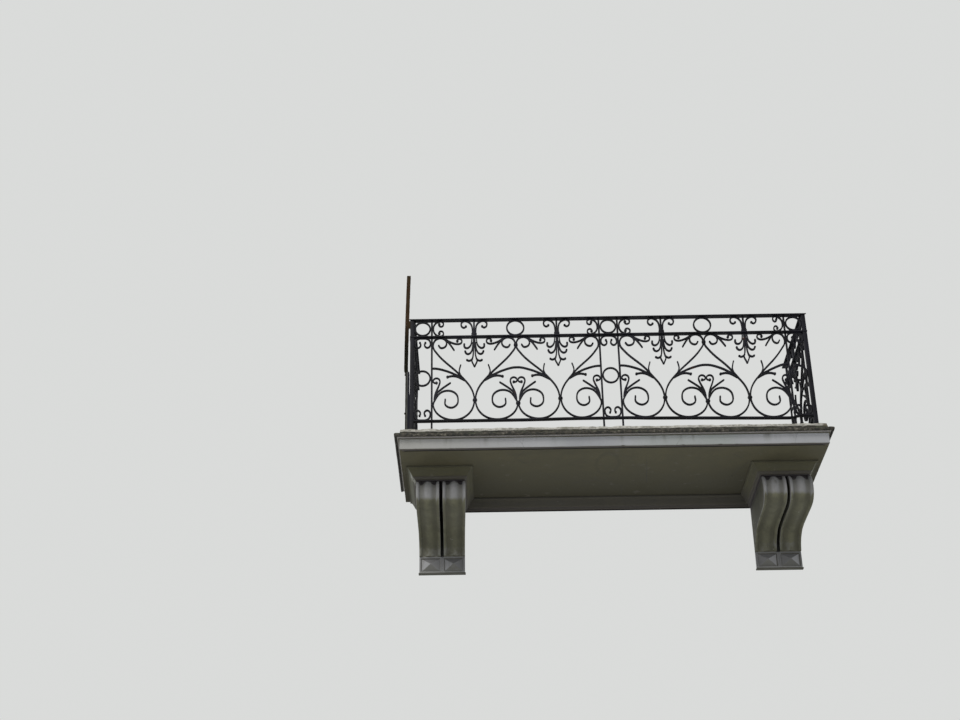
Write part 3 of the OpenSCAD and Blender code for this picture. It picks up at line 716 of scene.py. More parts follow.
def eased(profile, radius):
    """Rounds each inner corner b of an open profile between points a and c: the curve
    (1-t)^2 A + 2t(1-t) b + t^2 C, where A and C lie radius away from b on its two sides."""
    pts = np.asarray(profile, float)
    made = [pts[:1]]
    t = np.linspace(0, 1, 5)[:, None]
    for a, b, c in zip(pts[:-2], pts[1:-1], pts[2:]):
        back, on = a - b, c - b
        r = min(radius, np.linalg.norm(back) * 0.45, np.linalg.norm(on) * 0.45)
        start = b + back / np.linalg.norm(back) * r
        stop = b + on / np.linalg.norm(on) * r
        made.append((1 - t) ** 2 * start + 2 * t * (1 - t) * b + t**2 * stop)
    return np.vstack(made + [pts[-1:]])


def closer(profile, step):
    """Adds points so that none are further apart than step."""
    made = []
    for a, b in zip(profile[:-1], profile[1:]):
        n = max(1, math.ceil(np.linalg.norm(b - a) / step))
        made.append(a + (b - a) * (np.arange(n) / n)[:, None])
    return np.vstack(made + [profile[-1:]])


def three_sides(inset, height, half_w, depth, spacing):
    """Carries the profile from the wall along the left side, the front and the right side.
    inset and height hold a value for each column, or for each row and column. A row at s
    along the front is at x = (2s - 1)(half_w - inset), y = -(depth - inset)."""
    n_side, n_front = int(depth / spacing), int(2 * half_w / spacing)
    s_side = np.linspace(0, 1, n_side, endpoint=False)
    fx = np.concatenate([-np.ones(n_side), np.linspace(-1, 1, n_front, endpoint=False), np.ones(n_side + 1)])
    fy = np.concatenate([s_side, np.ones(n_front), 1 - np.append(s_side, 1.0)])
    inset = np.broadcast_to(inset, (len(fx), np.shape(inset)[-1]))
    x = fx[:, None] * (half_w - inset)
    y = -fy[:, None] * (depth - inset)
    return np.stack([x, y, np.broadcast_to(height, x.shape)], axis=-1)


def worn_run(profile, half_w, depth, spacing, wear):
    """The run with its profile moved: wear(points, inset, height) gives two arrays, how far
    each point moves in and how far it moves up."""
    inset, height = profile[:, 0], profile[:, 1]
    even = three_sides(inset, height, half_w, depth, spacing)
    flat = even.reshape(-1, 3)
    rows = len(even)
    deep, up = wear(flat, np.tile(inset, rows), np.tile(height, rows))
    deep = deep.reshape(rows, -1)
    up = up.reshape(rows, -1)
    return three_sides(inset + deep, height + up, half_w, depth, spacing)


# %% The slab


# The crust on the nosing stands over the slab's even top.
NOSING_TOP = SLAB_TOP + 11.0
BAND_TOP = SLAB_TOP - 20.0
FASCIA_TOP = SLAB_TOP - 31.0
GROOVE = 68.0


def slab_profile():
    """From under the cement round the nosing, in to a narrow band, down the fascia and in
    to the groove."""
    edge = eased([[60, NOSING_TOP], [18, NOSING_TOP], [9, NOSING_TOP - 3], [3, NOSING_TOP - 9],
                  [0, NOSING_TOP - 18], [1, BAND_TOP + 1], [5, BAND_TOP - 5], [12, BAND_TOP - 4],
                  [17, BAND_TOP], [31, BAND_TOP], [31, FASCIA_TOP], [40, FASCIA_TOP], [40, SOFFIT],
                  [GROOVE, SOFFIT], [GROOVE, SOFFIT + 9], [GROOVE + 13, SOFFIT + 9],
                  [GROOVE + 13, SOFFIT], [130, SOFFIT]], 2.2)
    return np.vstack([[[DEPTH, SLAB_TOP], [75, SLAB_TOP]], closer(edge, 4.0), [[DEPTH, SOFFIT]]])


def along_front(y, inset):
    """1 along the front, and 0 along the sides, where -y is less than DEPTH - inset."""
    return ramp(-y / (DEPTH - np.minimum(inset, DEPTH - 1)), 0.985, 0.999)


def slab_places(profile, grid):
    """For the paint: 1 on the nosing, 0.25 on the band, which gets painted light, and along the
    front -0.5 between the fascia and the groove and -1 in the groove, which gets painted shade."""
    inset, height = profile[:, 0], profile[:, 1]
    nosing = (height > BAND_TOP + 5) | ((inset < 20) & (height > BAND_TOP - 8))
    band = (height > FASCIA_TOP + 5) & (inset > 25)
    strip = (height < SOFFIT + 1) & (inset > 41) & (inset < GROOVE)
    groove = (height < SOFFIT + 10) & (inset >= GROOVE) & (inset < GROOVE + 13.5)
    low = np.select([strip, groove], [-0.5, -1.0], 0.0) * along_front(grid[..., 1], inset + 3)
    return np.where(nosing, 1.0, np.where(band, 0.25, low))


def slab_wear(points, inset, height):
    """The nosing crumbles: up to 13 mm in and 11 mm down at its top edge. The lower edge of
    the fascia has chips of up to 4 mm, and the rest of the front waves by a millimetre."""
    edge = ramp(height, 30, 60) * ramp(55 - inset, 0, 25)
    crumbs = np.clip(0.25 + 0.9 * rough(points, 36.0, 4), 0, 1)
    bites = np.clip(2.2 * rough(points + 500.0, 110.0, 2) - 0.9, 0, 1)
    arris = ramp(-height, 48, 56) * ramp(60 - inset, 0, 16) * (inset > 39)
    chips = np.clip(3.0 * rough(points + 900.0, 60.0, 3) - 1.7, 0, 1)
    deep = edge * (7.0 * crumbs**1.5 + 6.0 * bites) + 4.0 * arris * chips
    wave = 0.5 + 0.5 * unevenness(points, 160.0)
    deep = deep + np.where((inset > 0) & (inset < 60), 1.2 * wave, 0.0)
    up = -edge * (8.0 * crumbs * ramp(height, 50, 64) + 3.0 * bites) + 4.0 * arris * chips
    in_groove = (inset > GROOVE - 4) & (inset < GROOVE + 18) & (height < 0)
    return deep, up - np.where(in_groove, (height - SOFFIT) * (1 - along_front(points[:, 1], inset + 3)), 0.0)


slab = Grids()
slab_run = worn_run(slab_profile(), HALF_W, DEPTH, 7.5, slab_wear)
slab.add(slab_run, around=False, value=slab_places(slab_profile(), slab_run))

# %% The cement on top, with its lumps round the feet
SCREED_BACK = 38.0
KERB_TOP = 109.0


def screed_wear(points, inset, height):
    """The kerb is lumpy: its face goes back by up to 7 mm and its top up and down by some 5."""
    face = ramp(120 - inset, 0, 40)
    lumps = np.clip(0.5 + 0.5 * rough(points + 70.0, 42.0, 4), 0, 1)
    up = 5.0 * rough(points + 130.0, 55.0, 3) * ramp(height, 70, 100) * face
    return face * 7.0 * lumps, up + (height > 97) * (1 - face) * 1.5 * (unevenness(points + 30.0, 150.0) - 1)


def screed_profile():
    """From the slab up the front of a low kerb, and down behind it to the floor."""
    edge = eased([[SCREED_BACK, NOSING_TOP - 4], [SCREED_BACK, FLOOR - 8], [SCREED_BACK + 3, KERB_TOP - 2],
                  [SCREED_BACK + 10, KERB_TOP], [SCREED_BACK + 60, KERB_TOP - 2], [SCREED_BACK + 110, FLOOR],
                  [165, FLOOR]], 5.0)
    top = np.stack([np.linspace(180, DEPTH - 1, 51), np.full(51, FLOOR)], axis=1)
    return np.vstack([closer(edge, 5.0), top])[::-1]


def mortar(x, y, radius, high, seed):
    """A lump of mortar round a foot: high (1 - r^2)^0.7 at r from 0 to 1, with a rough rim."""
    r = np.linspace(0, 1, 12)[:, None]
    a = np.linspace(0, 2 * np.pi, 40, endpoint=False)[None, :]
    even_x = x + radius * r * np.cos(a)
    even_y = y + radius * r * np.sin(a)
    flat = np.stack([even_x, even_y, np.full(even_x.shape, seed * 50.0)], axis=-1)
    lump = rough(flat.reshape(-1, 3), 22.0, 3).reshape(even_x.shape)
    rim = 1 + 0.28 * lump
    grid = np.stack([x + radius * r * rim * np.cos(a), y + radius * r * rim * np.sin(a),
                     FLOOR - 3 + high * (1 - r**2) ** 0.7 * (1 + 0.45 * lump)], axis=-1)
    grid[0] = grid[0].mean(axis=0)
    return grid[::-1]


screed = Grids()
screed.add(worn_run(screed_profile(), HALF_W, DEPTH, 9.0, screed_wear), around=False)
lumps = Grids()
feet = [(-CORNER_X - 8, RAIL_Y, 46, 26), (CORNER_X, RAIL_Y, 42, 24)]
feet += [(x, RAIL_Y, 30, 19) for x in (-FRONT_BAR_X, -CENTRE_BAR_X, CENTRE_BAR_X, FRONT_BAR_X)]
feet += [(s * CORNER_X, y, 30, 13) for s in (-1, 1) for y in (SIDE_BAR_Y, WALL_BAR_Y)]
feet += [(-1440.0, RAIL_Y - 6, 30, 18), (1452.0, RAIL_Y - 50, 34, 20), (1500.0, RAIL_Y - 60, 30, 17)]
for number, (x, y, radius, high) in enumerate(feet):
    lumps.add(mortar(RAIL_SHIFT + x, y, radius, high, number), around=True, lids=False)
print("slab points", slab.count, "cement points", screed.count, "lumps", len(feet))

# %% The mouldings under the slab
MOULD_OUT = 66.0
CAP_HALF = (PAIR_W + PAIR_SPREAD) / 2 + MOULD_OUT
CAP_DEPTH = 600.0 + MOULD_OUT
WALL_MOULD_END = PAIR_X - 170.0
WALL_GAP = 0.6


def mould_profile():
    """From the top edge down: a fillet, a cyma, a small hollow and the foot's fillet. The
    cyma is 44 t in and 56 (1 - cos 180t)/2 down."""
    t = np.linspace(0, 1, 13)
    cyma = np.stack([8 + 44 * t, SOFFIT - 13 - 28 * (1 - np.cos(np.pi * t))], axis=1)
    top = eased([[12, SOFFIT + 2], [0, SOFFIT], [0, SOFFIT - 13], cyma[0]], 1.6)
    foot = eased([cyma[-1], [57, MOULD_FOOT + 15], [61, MOULD_FOOT + 10], [MOULD_OUT, MOULD_FOOT + 8],
                  [MOULD_OUT, MOULD_FOOT], [MOULD_OUT + 30, MOULD_FOOT]], 1.4)
    return closer(np.vstack([top[1:-1], cyma[:-1], foot]), 4.0)


def mould_wear(points, inset, height):
    """A wave of a millimetre and small chips, the same at every inset and height."""
    chips = np.clip(2.6 * rough(points + 40.0, 50.0, 3) - 1.6, 0, 1)
    return 0.8 + 0.8 * unevenness(points, 140.0) + 2.5 * chips, np.zeros(len(points))


def cap_wear(points, inset, height):
    """The same, but the line along the cap's middle, where its sides meet, stays put."""
    deep, up = mould_wear(points, inset, height)
    return deep * (inset < CAP_HALF), up


caps = {}
for side, word in ((-1, "left"), (1, "right")):
    profile = np.vstack([[[CAP_HALF, SOFFIT]], mould_profile(), [[CAP_HALF, MOULD_FOOT]]])
    run = worn_run(profile, CAP_HALF, CAP_DEPTH, 7.0,
                   lambda p, i, h, s=side: cap_wear(p + (s * PAIR_X, 0, 0), i, h))
    caps[word] = Grids()
    caps[word].add(run + (side * PAIR_X, 0, 0), around=False)

# The moulding along the wall ends inside the caps, and its back lies WALL_GAP off the wall
# plane, clear of the backs of the caps.
wall_run = mould_profile()
wall_run = wall_run[wall_run[:, 0] <= MOULD_OUT]
wall_run = np.vstack([[[MOULD_OUT, SOFFIT + 2]], wall_run, [[MOULD_OUT, MOULD_FOOT]]])
along = np.linspace(-WALL_MOULD_END, WALL_MOULD_END, 260)
grid = np.zeros((len(along), len(wall_run), 3))
grid[..., 0] = along[:, None]
grid[..., 1] = wall_run[:, 0] - MOULD_OUT
grid[..., 2] = wall_run[:, 1]
worn = mould_wear(grid.reshape(-1, 3), None, None)[0].reshape(grid.shape[:2])
grid[..., 1] = np.minimum(grid[..., 1] + worn * (grid[..., 1] < -1), -WALL_GAP)
wall_mould = Grids()
wall_mould.add(grid[::-1], around=True)

# %% [markdown]
# ## The consoles
# A console is one shape in two directions. Seen from the side, its face swells out under
# the moulding and draws back to the wall in a long S. Across the face run a flat band, a
# flute, a rounded rib, a flute and a band. So each point is the side outline at v, pushed
# in along the outline's normal by the depth of the flute at u. The two consoles of a pair
# spread a little from the wall to the front, and lean a few millimetres to the right.

# %% A fluted console
CONSOLE_KEYS = [[600, 0], [628, -24], [647, -60], [655, -114], [640, -169], [598, -205], [540, -220],
                [440, -226], [330, -231], [215, -239], [150, -254], [97, -287], [63, -324], [45, -374]]
CONSOLE_OUT = 655.0
CONSOLE_LEAN = 9.0
BAND_W = 10.0
FLUTE_X = 31.0
FLUTE_D = 16.0
SIDE_ROWS = 14


def flute_depth(u):
    """0 on the band, a half cosine down to FLUTE_D at FLUTE_X, and back up over the rib."""
    s = np.minimum(u, CONSOLE_W - u)
    into = FLUTE_D * (1 - np.cos(np.pi * (s - BAND_W) / (FLUTE_X - BAND_W))) / 2
    rib = FLUTE_D * (1 + np.cos(np.pi * (s - FLUTE_X) / (CONSOLE_W / 2 - FLUTE_X))) / 2
    return np.where(s <= BAND_W, 0.0, np.where(s < FLUTE_X, into, rib))


def console(middle, place):
    """A ring of columns for each row down the face: across the face, in along one side to
    the wall, and out along the other. middle is the pair's, and place is measured from it.
    At s = out / CONSOLE_OUT the pair is 1 + s PAIR_SPREAD / PAIR_W times as wide as at the
    wall, and stands s CONSOLE_LEAN further right."""
    face = closer(smooth_curve(CONSOLE_KEYS, 4.0), 9.0)
    ahead = np.gradient(face, axis=0)
    ahead /= np.linalg.norm(ahead, axis=1)[:, None]
    normal = np.stack([-ahead[:, 1], ahead[:, 0]], axis=1)
    normal[0] = normal[-1] = (1.0, 0.0)
    blend = ramp(np.arange(len(face)), 0, 6)[:, None] * ramp(np.arange(len(face))[::-1], 0, 6)[:, None]
    normal = blend * normal + (1 - blend) * np.array([1.0, 0.0])
    normal /= np.linalg.norm(normal, axis=1)[:, None]
    rim = np.array([0, 0.5, 1.6, 3.4])
    u = np.concatenate([rim, np.linspace(5, CONSOLE_W - 5, 52), CONSOLE_W - rim[::-1]])
    round_off = np.interp(np.minimum(u, CONSOLE_W - u), rim, [3.4, 1.9, 0.5, 0.0])
    cut = flute_depth(u) + round_off
    rows, cols = len(face), len(u)
    points = np.zeros((rows, cols, 3))
    points[..., 1] = -(face[:, :1] - cut * normal[:, :1])
    wider = 1 - PAIR_SPREAD / PAIR_W * points[..., 1] / CONSOLE_OUT
    aside_by = CONSOLE_LEAN * points[..., 1] / CONSOLE_OUT
    points[..., 0] = middle + (place + u - CONSOLE_W / 2) * wider - aside_by
    points[..., 2] = MOULD_FOOT + face[:, 1:] - cut * normal[:, 1:]
    wave = unevenness(points.reshape(-1, 3), 120.0).reshape(rows, cols)
    edge = np.exp(-np.minimum(u, CONSOLE_W - u) / 5.0)
    chips = np.clip(2.8 * rough(points.reshape(-1, 3) + 210.0, 42.0, 3) - 1.4, 0, 1)
    chips = chips.reshape(rows, cols) * edge
    points[..., 1] += (0.6 + 0.6 * wave + 3.5 * chips) * blend
    inward = np.linspace(0, 1, SIDE_ROWS + 1)[1:, None, None]
    at_wall = [points[:, column] * (0, 0, 1) + (middle + place + x, 0, 0)
               for column, x in ((0, -CONSOLE_W / 2), (-1, CONSOLE_W / 2))]
    left = points[None, :, 0] * (1 - inward) + inward * at_wall[0]
    right = points[None, :, -1] * (1 - inward) + inward * at_wall[1]
    ring = np.concatenate([points, right.transpose(1, 0, 2), left.transpose(1, 0, 2)[:, ::-1]], axis=1)
    # The value is the nearness to an edge, for worn paint and a painted highlight, less half the flute's
    # relative depth, for painted shade in the flutes; the sides get -1, for soot and painted shade.
    place_value = np.concatenate([edge - 0.5 * flute_depth(u) / FLUTE_D, -np.ones(2 * SIDE_ROWS)])
    return ring, np.broadcast_to(place_value, ring.shape[:2])


aside = (CONSOLE_W + CONSOLE_GAP) / 2
consoles = {}
for word, middle, place in (("left_outer", -PAIR_X, -aside), ("left_inner", -PAIR_X, aside),
                            ("right_inner", PAIR_X, -aside), ("right_outer", PAIR_X, aside)):
    ring, place_value = console(middle, place)
    consoles[word] = Grids()
    consoles[word].add(ring, value=place_value)
print("points in a console", consoles["left_outer"].count)

# %% [markdown]
# ## The wall plates
# Under each pair of consoles a plate stands on the wall, and a narrow web goes up from it
# between the two. It has two framed fields that rise to a point like a cut diamond. A plate
# is a height over the wall: the frame's height, or the field's height plus the lower of two
# roofs, one falling off sideways and one upwards.

# %% A wall plate
PLATE_TOP = MOULD_FOOT - 379.0
PLATE_H = 138.0
PLATE_OUT = 30.0
POINT_OUT = 34.0
PLATE_FOOT = 9.0
FOOT_OUT = 37.0
WEB_VALUE = -2.0
FRAME_W = 13.0
PANEL_W = (PAIR_W - FRAME_W) / 2
FIELD_W = PANEL_W - 2 * FRAME_W
FIELD_H = PLATE_H - PLATE_FOOT - 2 * FRAME_W


def plate_height(x, z):
    """How far the plate stands out at x from its middle and z from the middle of the
    fields, and a value of -0.6 in the line around each field, where painted shade goes."""
    panel_x = np.abs(x) - (PANEL_W + FRAME_W / 2) / 2
    outside = np.maximum(np.abs(panel_x) - FIELD_W / 2, np.abs(z) - FIELD_H / 2)
    frame = ramp(outside, -1.5, 1.5)
    roof = np.minimum(1 - np.abs(panel_x) / (FIELD_W / 2 - 2), 1 - np.abs(z) / (FIELD_H / 2 - 2))
    point = POINT_OUT * np.clip(roof, 0, 1)
    point = np.where(roof < 0.06, POINT_OUT * 0.5 * np.clip(roof + 0.06, 0, 0.12) ** 2 / 0.12, point)
    groove = 2.6 * (1 - ramp(np.abs(x), 0.6, 2.2))
    return PLATE_OUT - 8.0 * (1 - frame) + point * (1 - frame) - groove, -0.6 * np.exp(-(outside / 3.0) ** 2)


def wall_plate(middle):
    """The height over a grid of 2 mm, its rim eased and run back to the wall."""
    high = PLATE_H - PLATE_FOOT
    x = np.linspace(-PAIR_W / 2, PAIR_W / 2, 176)
    z = np.linspace(-high / 2, high / 2 + 5, 66)
    gx, gz = np.meshgrid(x, z)
    out, line = plate_height(gx, gz)
    rim = np.minimum(PAIR_W / 2 - np.abs(gx), np.minimum(gz + high / 2, 500.0))
    out = out - np.interp(rim, [0, 1, 3], [2.2, 0.6, 0.0])
    points = np.stack([middle + gx, -out, PLATE_TOP - high / 2 + gz], axis=-1)
    flat = points.reshape(-1, 3)
    pits = np.clip(2.5 * rough(flat + 33.0, 30.0, 3) - 1.6, 0, 1)
    points[..., 1] += (0.5 + 0.5 * unevenness(flat, 60.0) + 2.0 * pits).reshape(gx.shape)
    back = points * (1, 0, 1)
    ring = np.concatenate([back[:, :1], points, back[:, -1:]], axis=1)
    return ring, np.pad(line, ((0, 0), (1, 1)))


plates = {}
for side, word in ((-1, "left"), (1, "right")):
    middle = side * PAIR_X
    plates[word] = Grids()
    ring, line = wall_plate(middle)
    plates[word].add(ring, value=line)
    # The web carries WEB_VALUE, which the render paints near black as the shade of the gap between the two
    # consoles.
    web = upright_bar(middle, -PLATE_OUT / 2, PLATE_TOP, MOULD_FOOT, CONSOLE_GAP, PLATE_OUT, soft=0.5)
    plates[word].add(web, value=WEB_VALUE)
    foot = oblong(2 * FOOT_OUT, PLATE_FOOT, 2.5)[0]
    strip = np.vstack([[0.0, PLATE_FOOT / 2], foot[foot[:, 0] < 0], [0.0, -PLATE_FOOT / 2]])
    t = np.linspace(-PAIR_W / 2 - 5, PAIR_W / 2 + 5, 120)[:, None]
    up = PLATE_TOP - PLATE_H + PLATE_FOOT / 2 + strip[:, 1]
    run = np.stack(np.broadcast_arrays(middle + t, strip[:, 0], up), axis=-1)
    wear = 0.5 + 0.5 * unevenness(run.reshape(-1, 3), 40.0).reshape(run.shape[:2])
    run[..., 1] = np.minimum(run[..., 1] + 1.5 * wear, 0.0)
    plates[word].add(run)
print("points in a wall plate", plates["left"].count)

# %% [markdown]
# ## The steel angle and the rusty bar
# At the left corner somebody later bolted a steel angle to the post, and stood a flat bar
# behind its front leg that rises over the handrail and bends towards it. A lug under the
# handrail ties the bar to the post. From 370 mm over the slab the angle's side leg stands
# off the post.

# %% Angle, bar and bolts
ANGLE_X = RAIL_SHIFT - CORNER_X - POST / 2 - 33.0
ANGLE_Y = RAIL_Y - POST / 2
ANGLE_TOP = SLAB_TOP + 580.0
LOOSE_TOP = SLAB_TOP + 1442.0
BEND_FROM = SLAB_TOP + 640.0
STAND_OFF = 5.0
LOOSE_BAR_W = 30.0
LOOSE_BAR_D = 8.0

angle_outline = eased([[20, 0], [33, 0], [33, 33], [29, 33], [29, 4], [9, 4], [9, 0], [20, 0]], 1.0)[:-1]
heights = np.linspace(FLOOR - 4, ANGLE_TOP, 40)
away = STAND_OFF * (angle_outline[:, 0] > 25) * ramp(heights, SLAB_TOP + 370, SLAB_TOP + 440)[:, None]
steel_angle = Grids()
steel_angle.add(np.stack(np.broadcast_arrays(
    ANGLE_X + angle_outline[:, 0] - away, ANGLE_Y + angle_outline[:, 1], heights[:, None]), axis=-1))


def loose_path(z):
    """The middle of the loose bar: straight behind the angle, a joggle of 10 mm over it, then
    14 t^1.5 aside over its upper part."""
    t = np.clip((z - BEND_FROM) / (LOOSE_TOP - BEND_FROM), 0, 1)
    return ANGLE_X + 4 + 11 * (1 - ramp(z, ANGLE_TOP - 25, ANGLE_TOP + 15)) + 14.0 * t**1.5


heights = np.linspace(FLOOR - 4, LOOSE_TOP, 160)
section = oblong(LOOSE_BAR_W, LOOSE_BAR_D, 1.4)[0]
shrink = np.interp(heights, [LOOSE_TOP - 3, LOOSE_TOP], [1.0, 0.9])[:, None]
pitted = Grids()
pitted.add(np.stack(np.broadcast_arrays(
    loose_path(heights)[:, None] + section[:, 0] * shrink,
    ANGLE_Y + 8 + section[:, 1] * shrink, heights[:, None]), axis=-1))
loose_bar = pitted.copy(
    lambda p: p + 0.6 * np.stack([rough(p, 14.0), rough(p + 90.0, 14.0), 0 * p[:, 0]], axis=1))
loose_bar.add(upright_bar(ANGLE_X + 30, ANGLE_Y + 8, HANDRAIL_Z - 66, HANDRAIL_Z - 2, 16, 8, soft=1.0))

bolts = Grids()
for z in (233.0, 562.0):
    place = (ANGLE_X - 1, ANGLE_Y + 17.0, SLAB_TOP + z)
    bolts.add(turned(place, "x", [-6.0, -5.6, -4.6, 0.0], [5.6, 6.9, 7.5, 7.5], 6))
    bolts.add(turned(place, "x", [-0.2, 31.0], [4.0, 4.0], 20))
print("points in the angle", steel_angle.count, "in the loose bar", loose_bar.count)

# %% [markdown]
# # Materials
# Each finish is worked out from noise at the surface's own place, so it has no picture and
# no seam. The sums are written as Python: a wire stands for the output of a node, and
# adding or multiplying wires puts Math nodes in between.

# %% Wires and finishes


def plug(place, value):
    """Sets an input socket to a number or a colour, or joins a wire to it."""
    if isinstance(value, Wire):
        place.id_data.links.new(value.socket, place)
    elif isinstance(value, tuple) and len(place.default_value) == 4:
        place.default_value = (*value[:3], 1.0)
    else:
        place.default_value = value


class Wire:
    """The output of a node. Sums of wires and numbers add Math nodes."""

    def __init__(self, socket):
        self.socket = socket

    def sum(self, how, other, swap=False):
        """A Math node of the operation how on the two, or on the two swapped."""
        node = self.socket.id_data.nodes.new("ShaderNodeMath")
        node.operation = how
        for place, value in zip(node.inputs, (other, self) if swap else (self, other)):
            plug(place, value)
        return Wire(node.outputs[0])

    def __add__(self, other):
        return self.sum("ADD", other)

    def __sub__(self, other):
        return self.sum("SUBTRACT", other)

    def __rsub__(self, other):
        return self.sum("SUBTRACT", other, swap=True)

    def __mul__(self, other):
        return self.sum("MULTIPLY", other)

    def __pow__(self, other):
        return self.sum("POWER", other)

    __radd__ = __add__
    __rmul__ = __mul__


class Finish:
    """A material in the making, with short ways to noise, masks and mixed colours."""

    def __init__(self, name):
        self.material = bpy.data.materials.new(name)
        self.material.use_nodes = True
        self.tree = self.material.node_tree
        self.shader = next(n for n in self.tree.nodes if n.type == "BSDF_PRINCIPLED")
        self.place = self.add("ShaderNodeTexCoord", {}, {}, "Object")
        self.x, self.y, self.z = self.apart(self.place)
        self.normal = self.add("ShaderNodeNewGeometry", {}, {}, "Normal")
        self.up = self.apart(self.normal)[2]

    def add(self, kind, settings, sockets, out=0):
        """A node of this kind: its settings are set first, then its sockets."""
        node = self.tree.nodes.new(kind)
        for key, value in settings.items():
            setattr(node, key, value)
        for key, value in sockets.items():
            plug(node.inputs[key], value)
        return Wire(node.outputs[out])

    def apart(self, vector):
        """The x, y and z of a vector."""
        node = self.add("ShaderNodeSeparateXYZ", {}, {"Vector": vector}).socket.node
        return [Wire(socket) for socket in node.outputs]

    def noise(self, size, detail=4.0, rough=0.55, stretch=None, shift=0.0):
        """Noise with lumps of about size metres. stretch makes them that many times longer
        along x, y and z."""
        turn = {"Vector": self.place, "Location": (shift, shift, shift)}
        if stretch:
            turn["Scale"] = tuple(1.0 / s for s in stretch)
        place = self.add("ShaderNodeMapping", {}, turn)
        return self.add("ShaderNodeTexNoise", {},
                        {"Vector": place, "Scale": 0.5 / size, "Detail": detail, "Roughness": rough}, "Fac")

    def mask(self, value, low, high):
        """0 where value is under low and 1 where it is over high, with a smooth step."""
        settings = {"interpolation_type": "SMOOTHSTEP"}
        return self.add("ShaderNodeMapRange", settings,
                        {"Value": value, "From Min": low, "From Max": high}, "Result")

    def mix(self, a, b, amount):
        """Colour a where amount is 0, and b where it is 1."""
        return self.add("ShaderNodeMix", {"data_type": "RGBA"}, {0: amount, 6: a, 7: b}, 2)

    def shade(self, colour, amount):
        """The colour, made darker or lighter by a factor."""
        scale = self.add("ShaderNodeCombineXYZ", {}, {0: amount, 1: amount, 2: amount})
        return self.add("ShaderNodeVectorMath", {"operation": "MULTIPLY"}, {0: colour, 1: scale})

    def bump(self, height, distance, strength=1.0, under=None):
        """A normal that makes height, from 0 to 1, stand out by distance in metres."""
        sockets = {"Height": height, "Distance": distance, "Strength": strength}
        if under:
            sockets["Normal"] = under
        return self.add("ShaderNodeBump", {}, sockets)

    def wear(self):
        """The value that each point of the piece carries."""
        return self.add("ShaderNodeAttribute", {"attribute_name": "wear"}, {}, "Fac")

    def done(self, colour, roughness, normal, metallic=0.0, ior=1.45):
        """Joins everything to the shader and returns the material."""
        plug(self.shader.inputs["Base Color"], colour)
        plug(self.shader.inputs["Roughness"], roughness)
        plug(self.shader.inputs["Normal"], normal)
        plug(self.shader.inputs["Metallic"], metallic)
        self.shader.inputs["IOR"].default_value = ior
        return self.material


# %% [markdown]
# ## Black iron
# The railing was painted black long ago. It has dulled to a blue-grey where the weather
# reaches it, carries dust on its upper faces, and rusts in small spots. Under the paint are
# the shallow dents of the hammer.

# %% Old black paint on wrought iron


def black_iron():
    f = Finish("old_black_paint")
    broad = f.noise(0.14, 3.0)
    fine = f.noise(0.012, 5.0, 0.6)
    black = f.mix((0.003, 0.003, 0.004), (0.008, 0.008, 0.012), f.mask(broad, 0.35, 0.68))
    dust = f.mask(f.up, 0.25, 0.95) * f.mask(f.noise(0.05, 4.0, shift=3.0), 0.30, 0.62) * 0.6
    colour = f.mix(black, (0.040, 0.038, 0.034), dust)
    rust = f.mask(f.noise(0.03, 6.0, 0.65, shift=7.0), 0.63, 0.72) * f.mask(broad, 0.42, 0.6)
    colour = f.mix(colour, (0.050, 0.022, 0.012), rust * 0.8)
    colour = f.shade(colour, 0.82 + 0.36 * fine)
    hammer = f.add("ShaderNodeTexVoronoi", {"feature": "SMOOTH_F1"},
                   {"Vector": f.place, "Scale": 62.0, "Smoothness": 0.7}, "Distance")
    normal = f.bump(fine, 0.0007, 0.5, f.bump(hammer, 0.0016, 0.45))
    rough_level = 0.46 + 0.22 * fine + 0.3 * dust + 0.25 * rust
    return f.done(colour, rough_level, normal, ior=1.2)
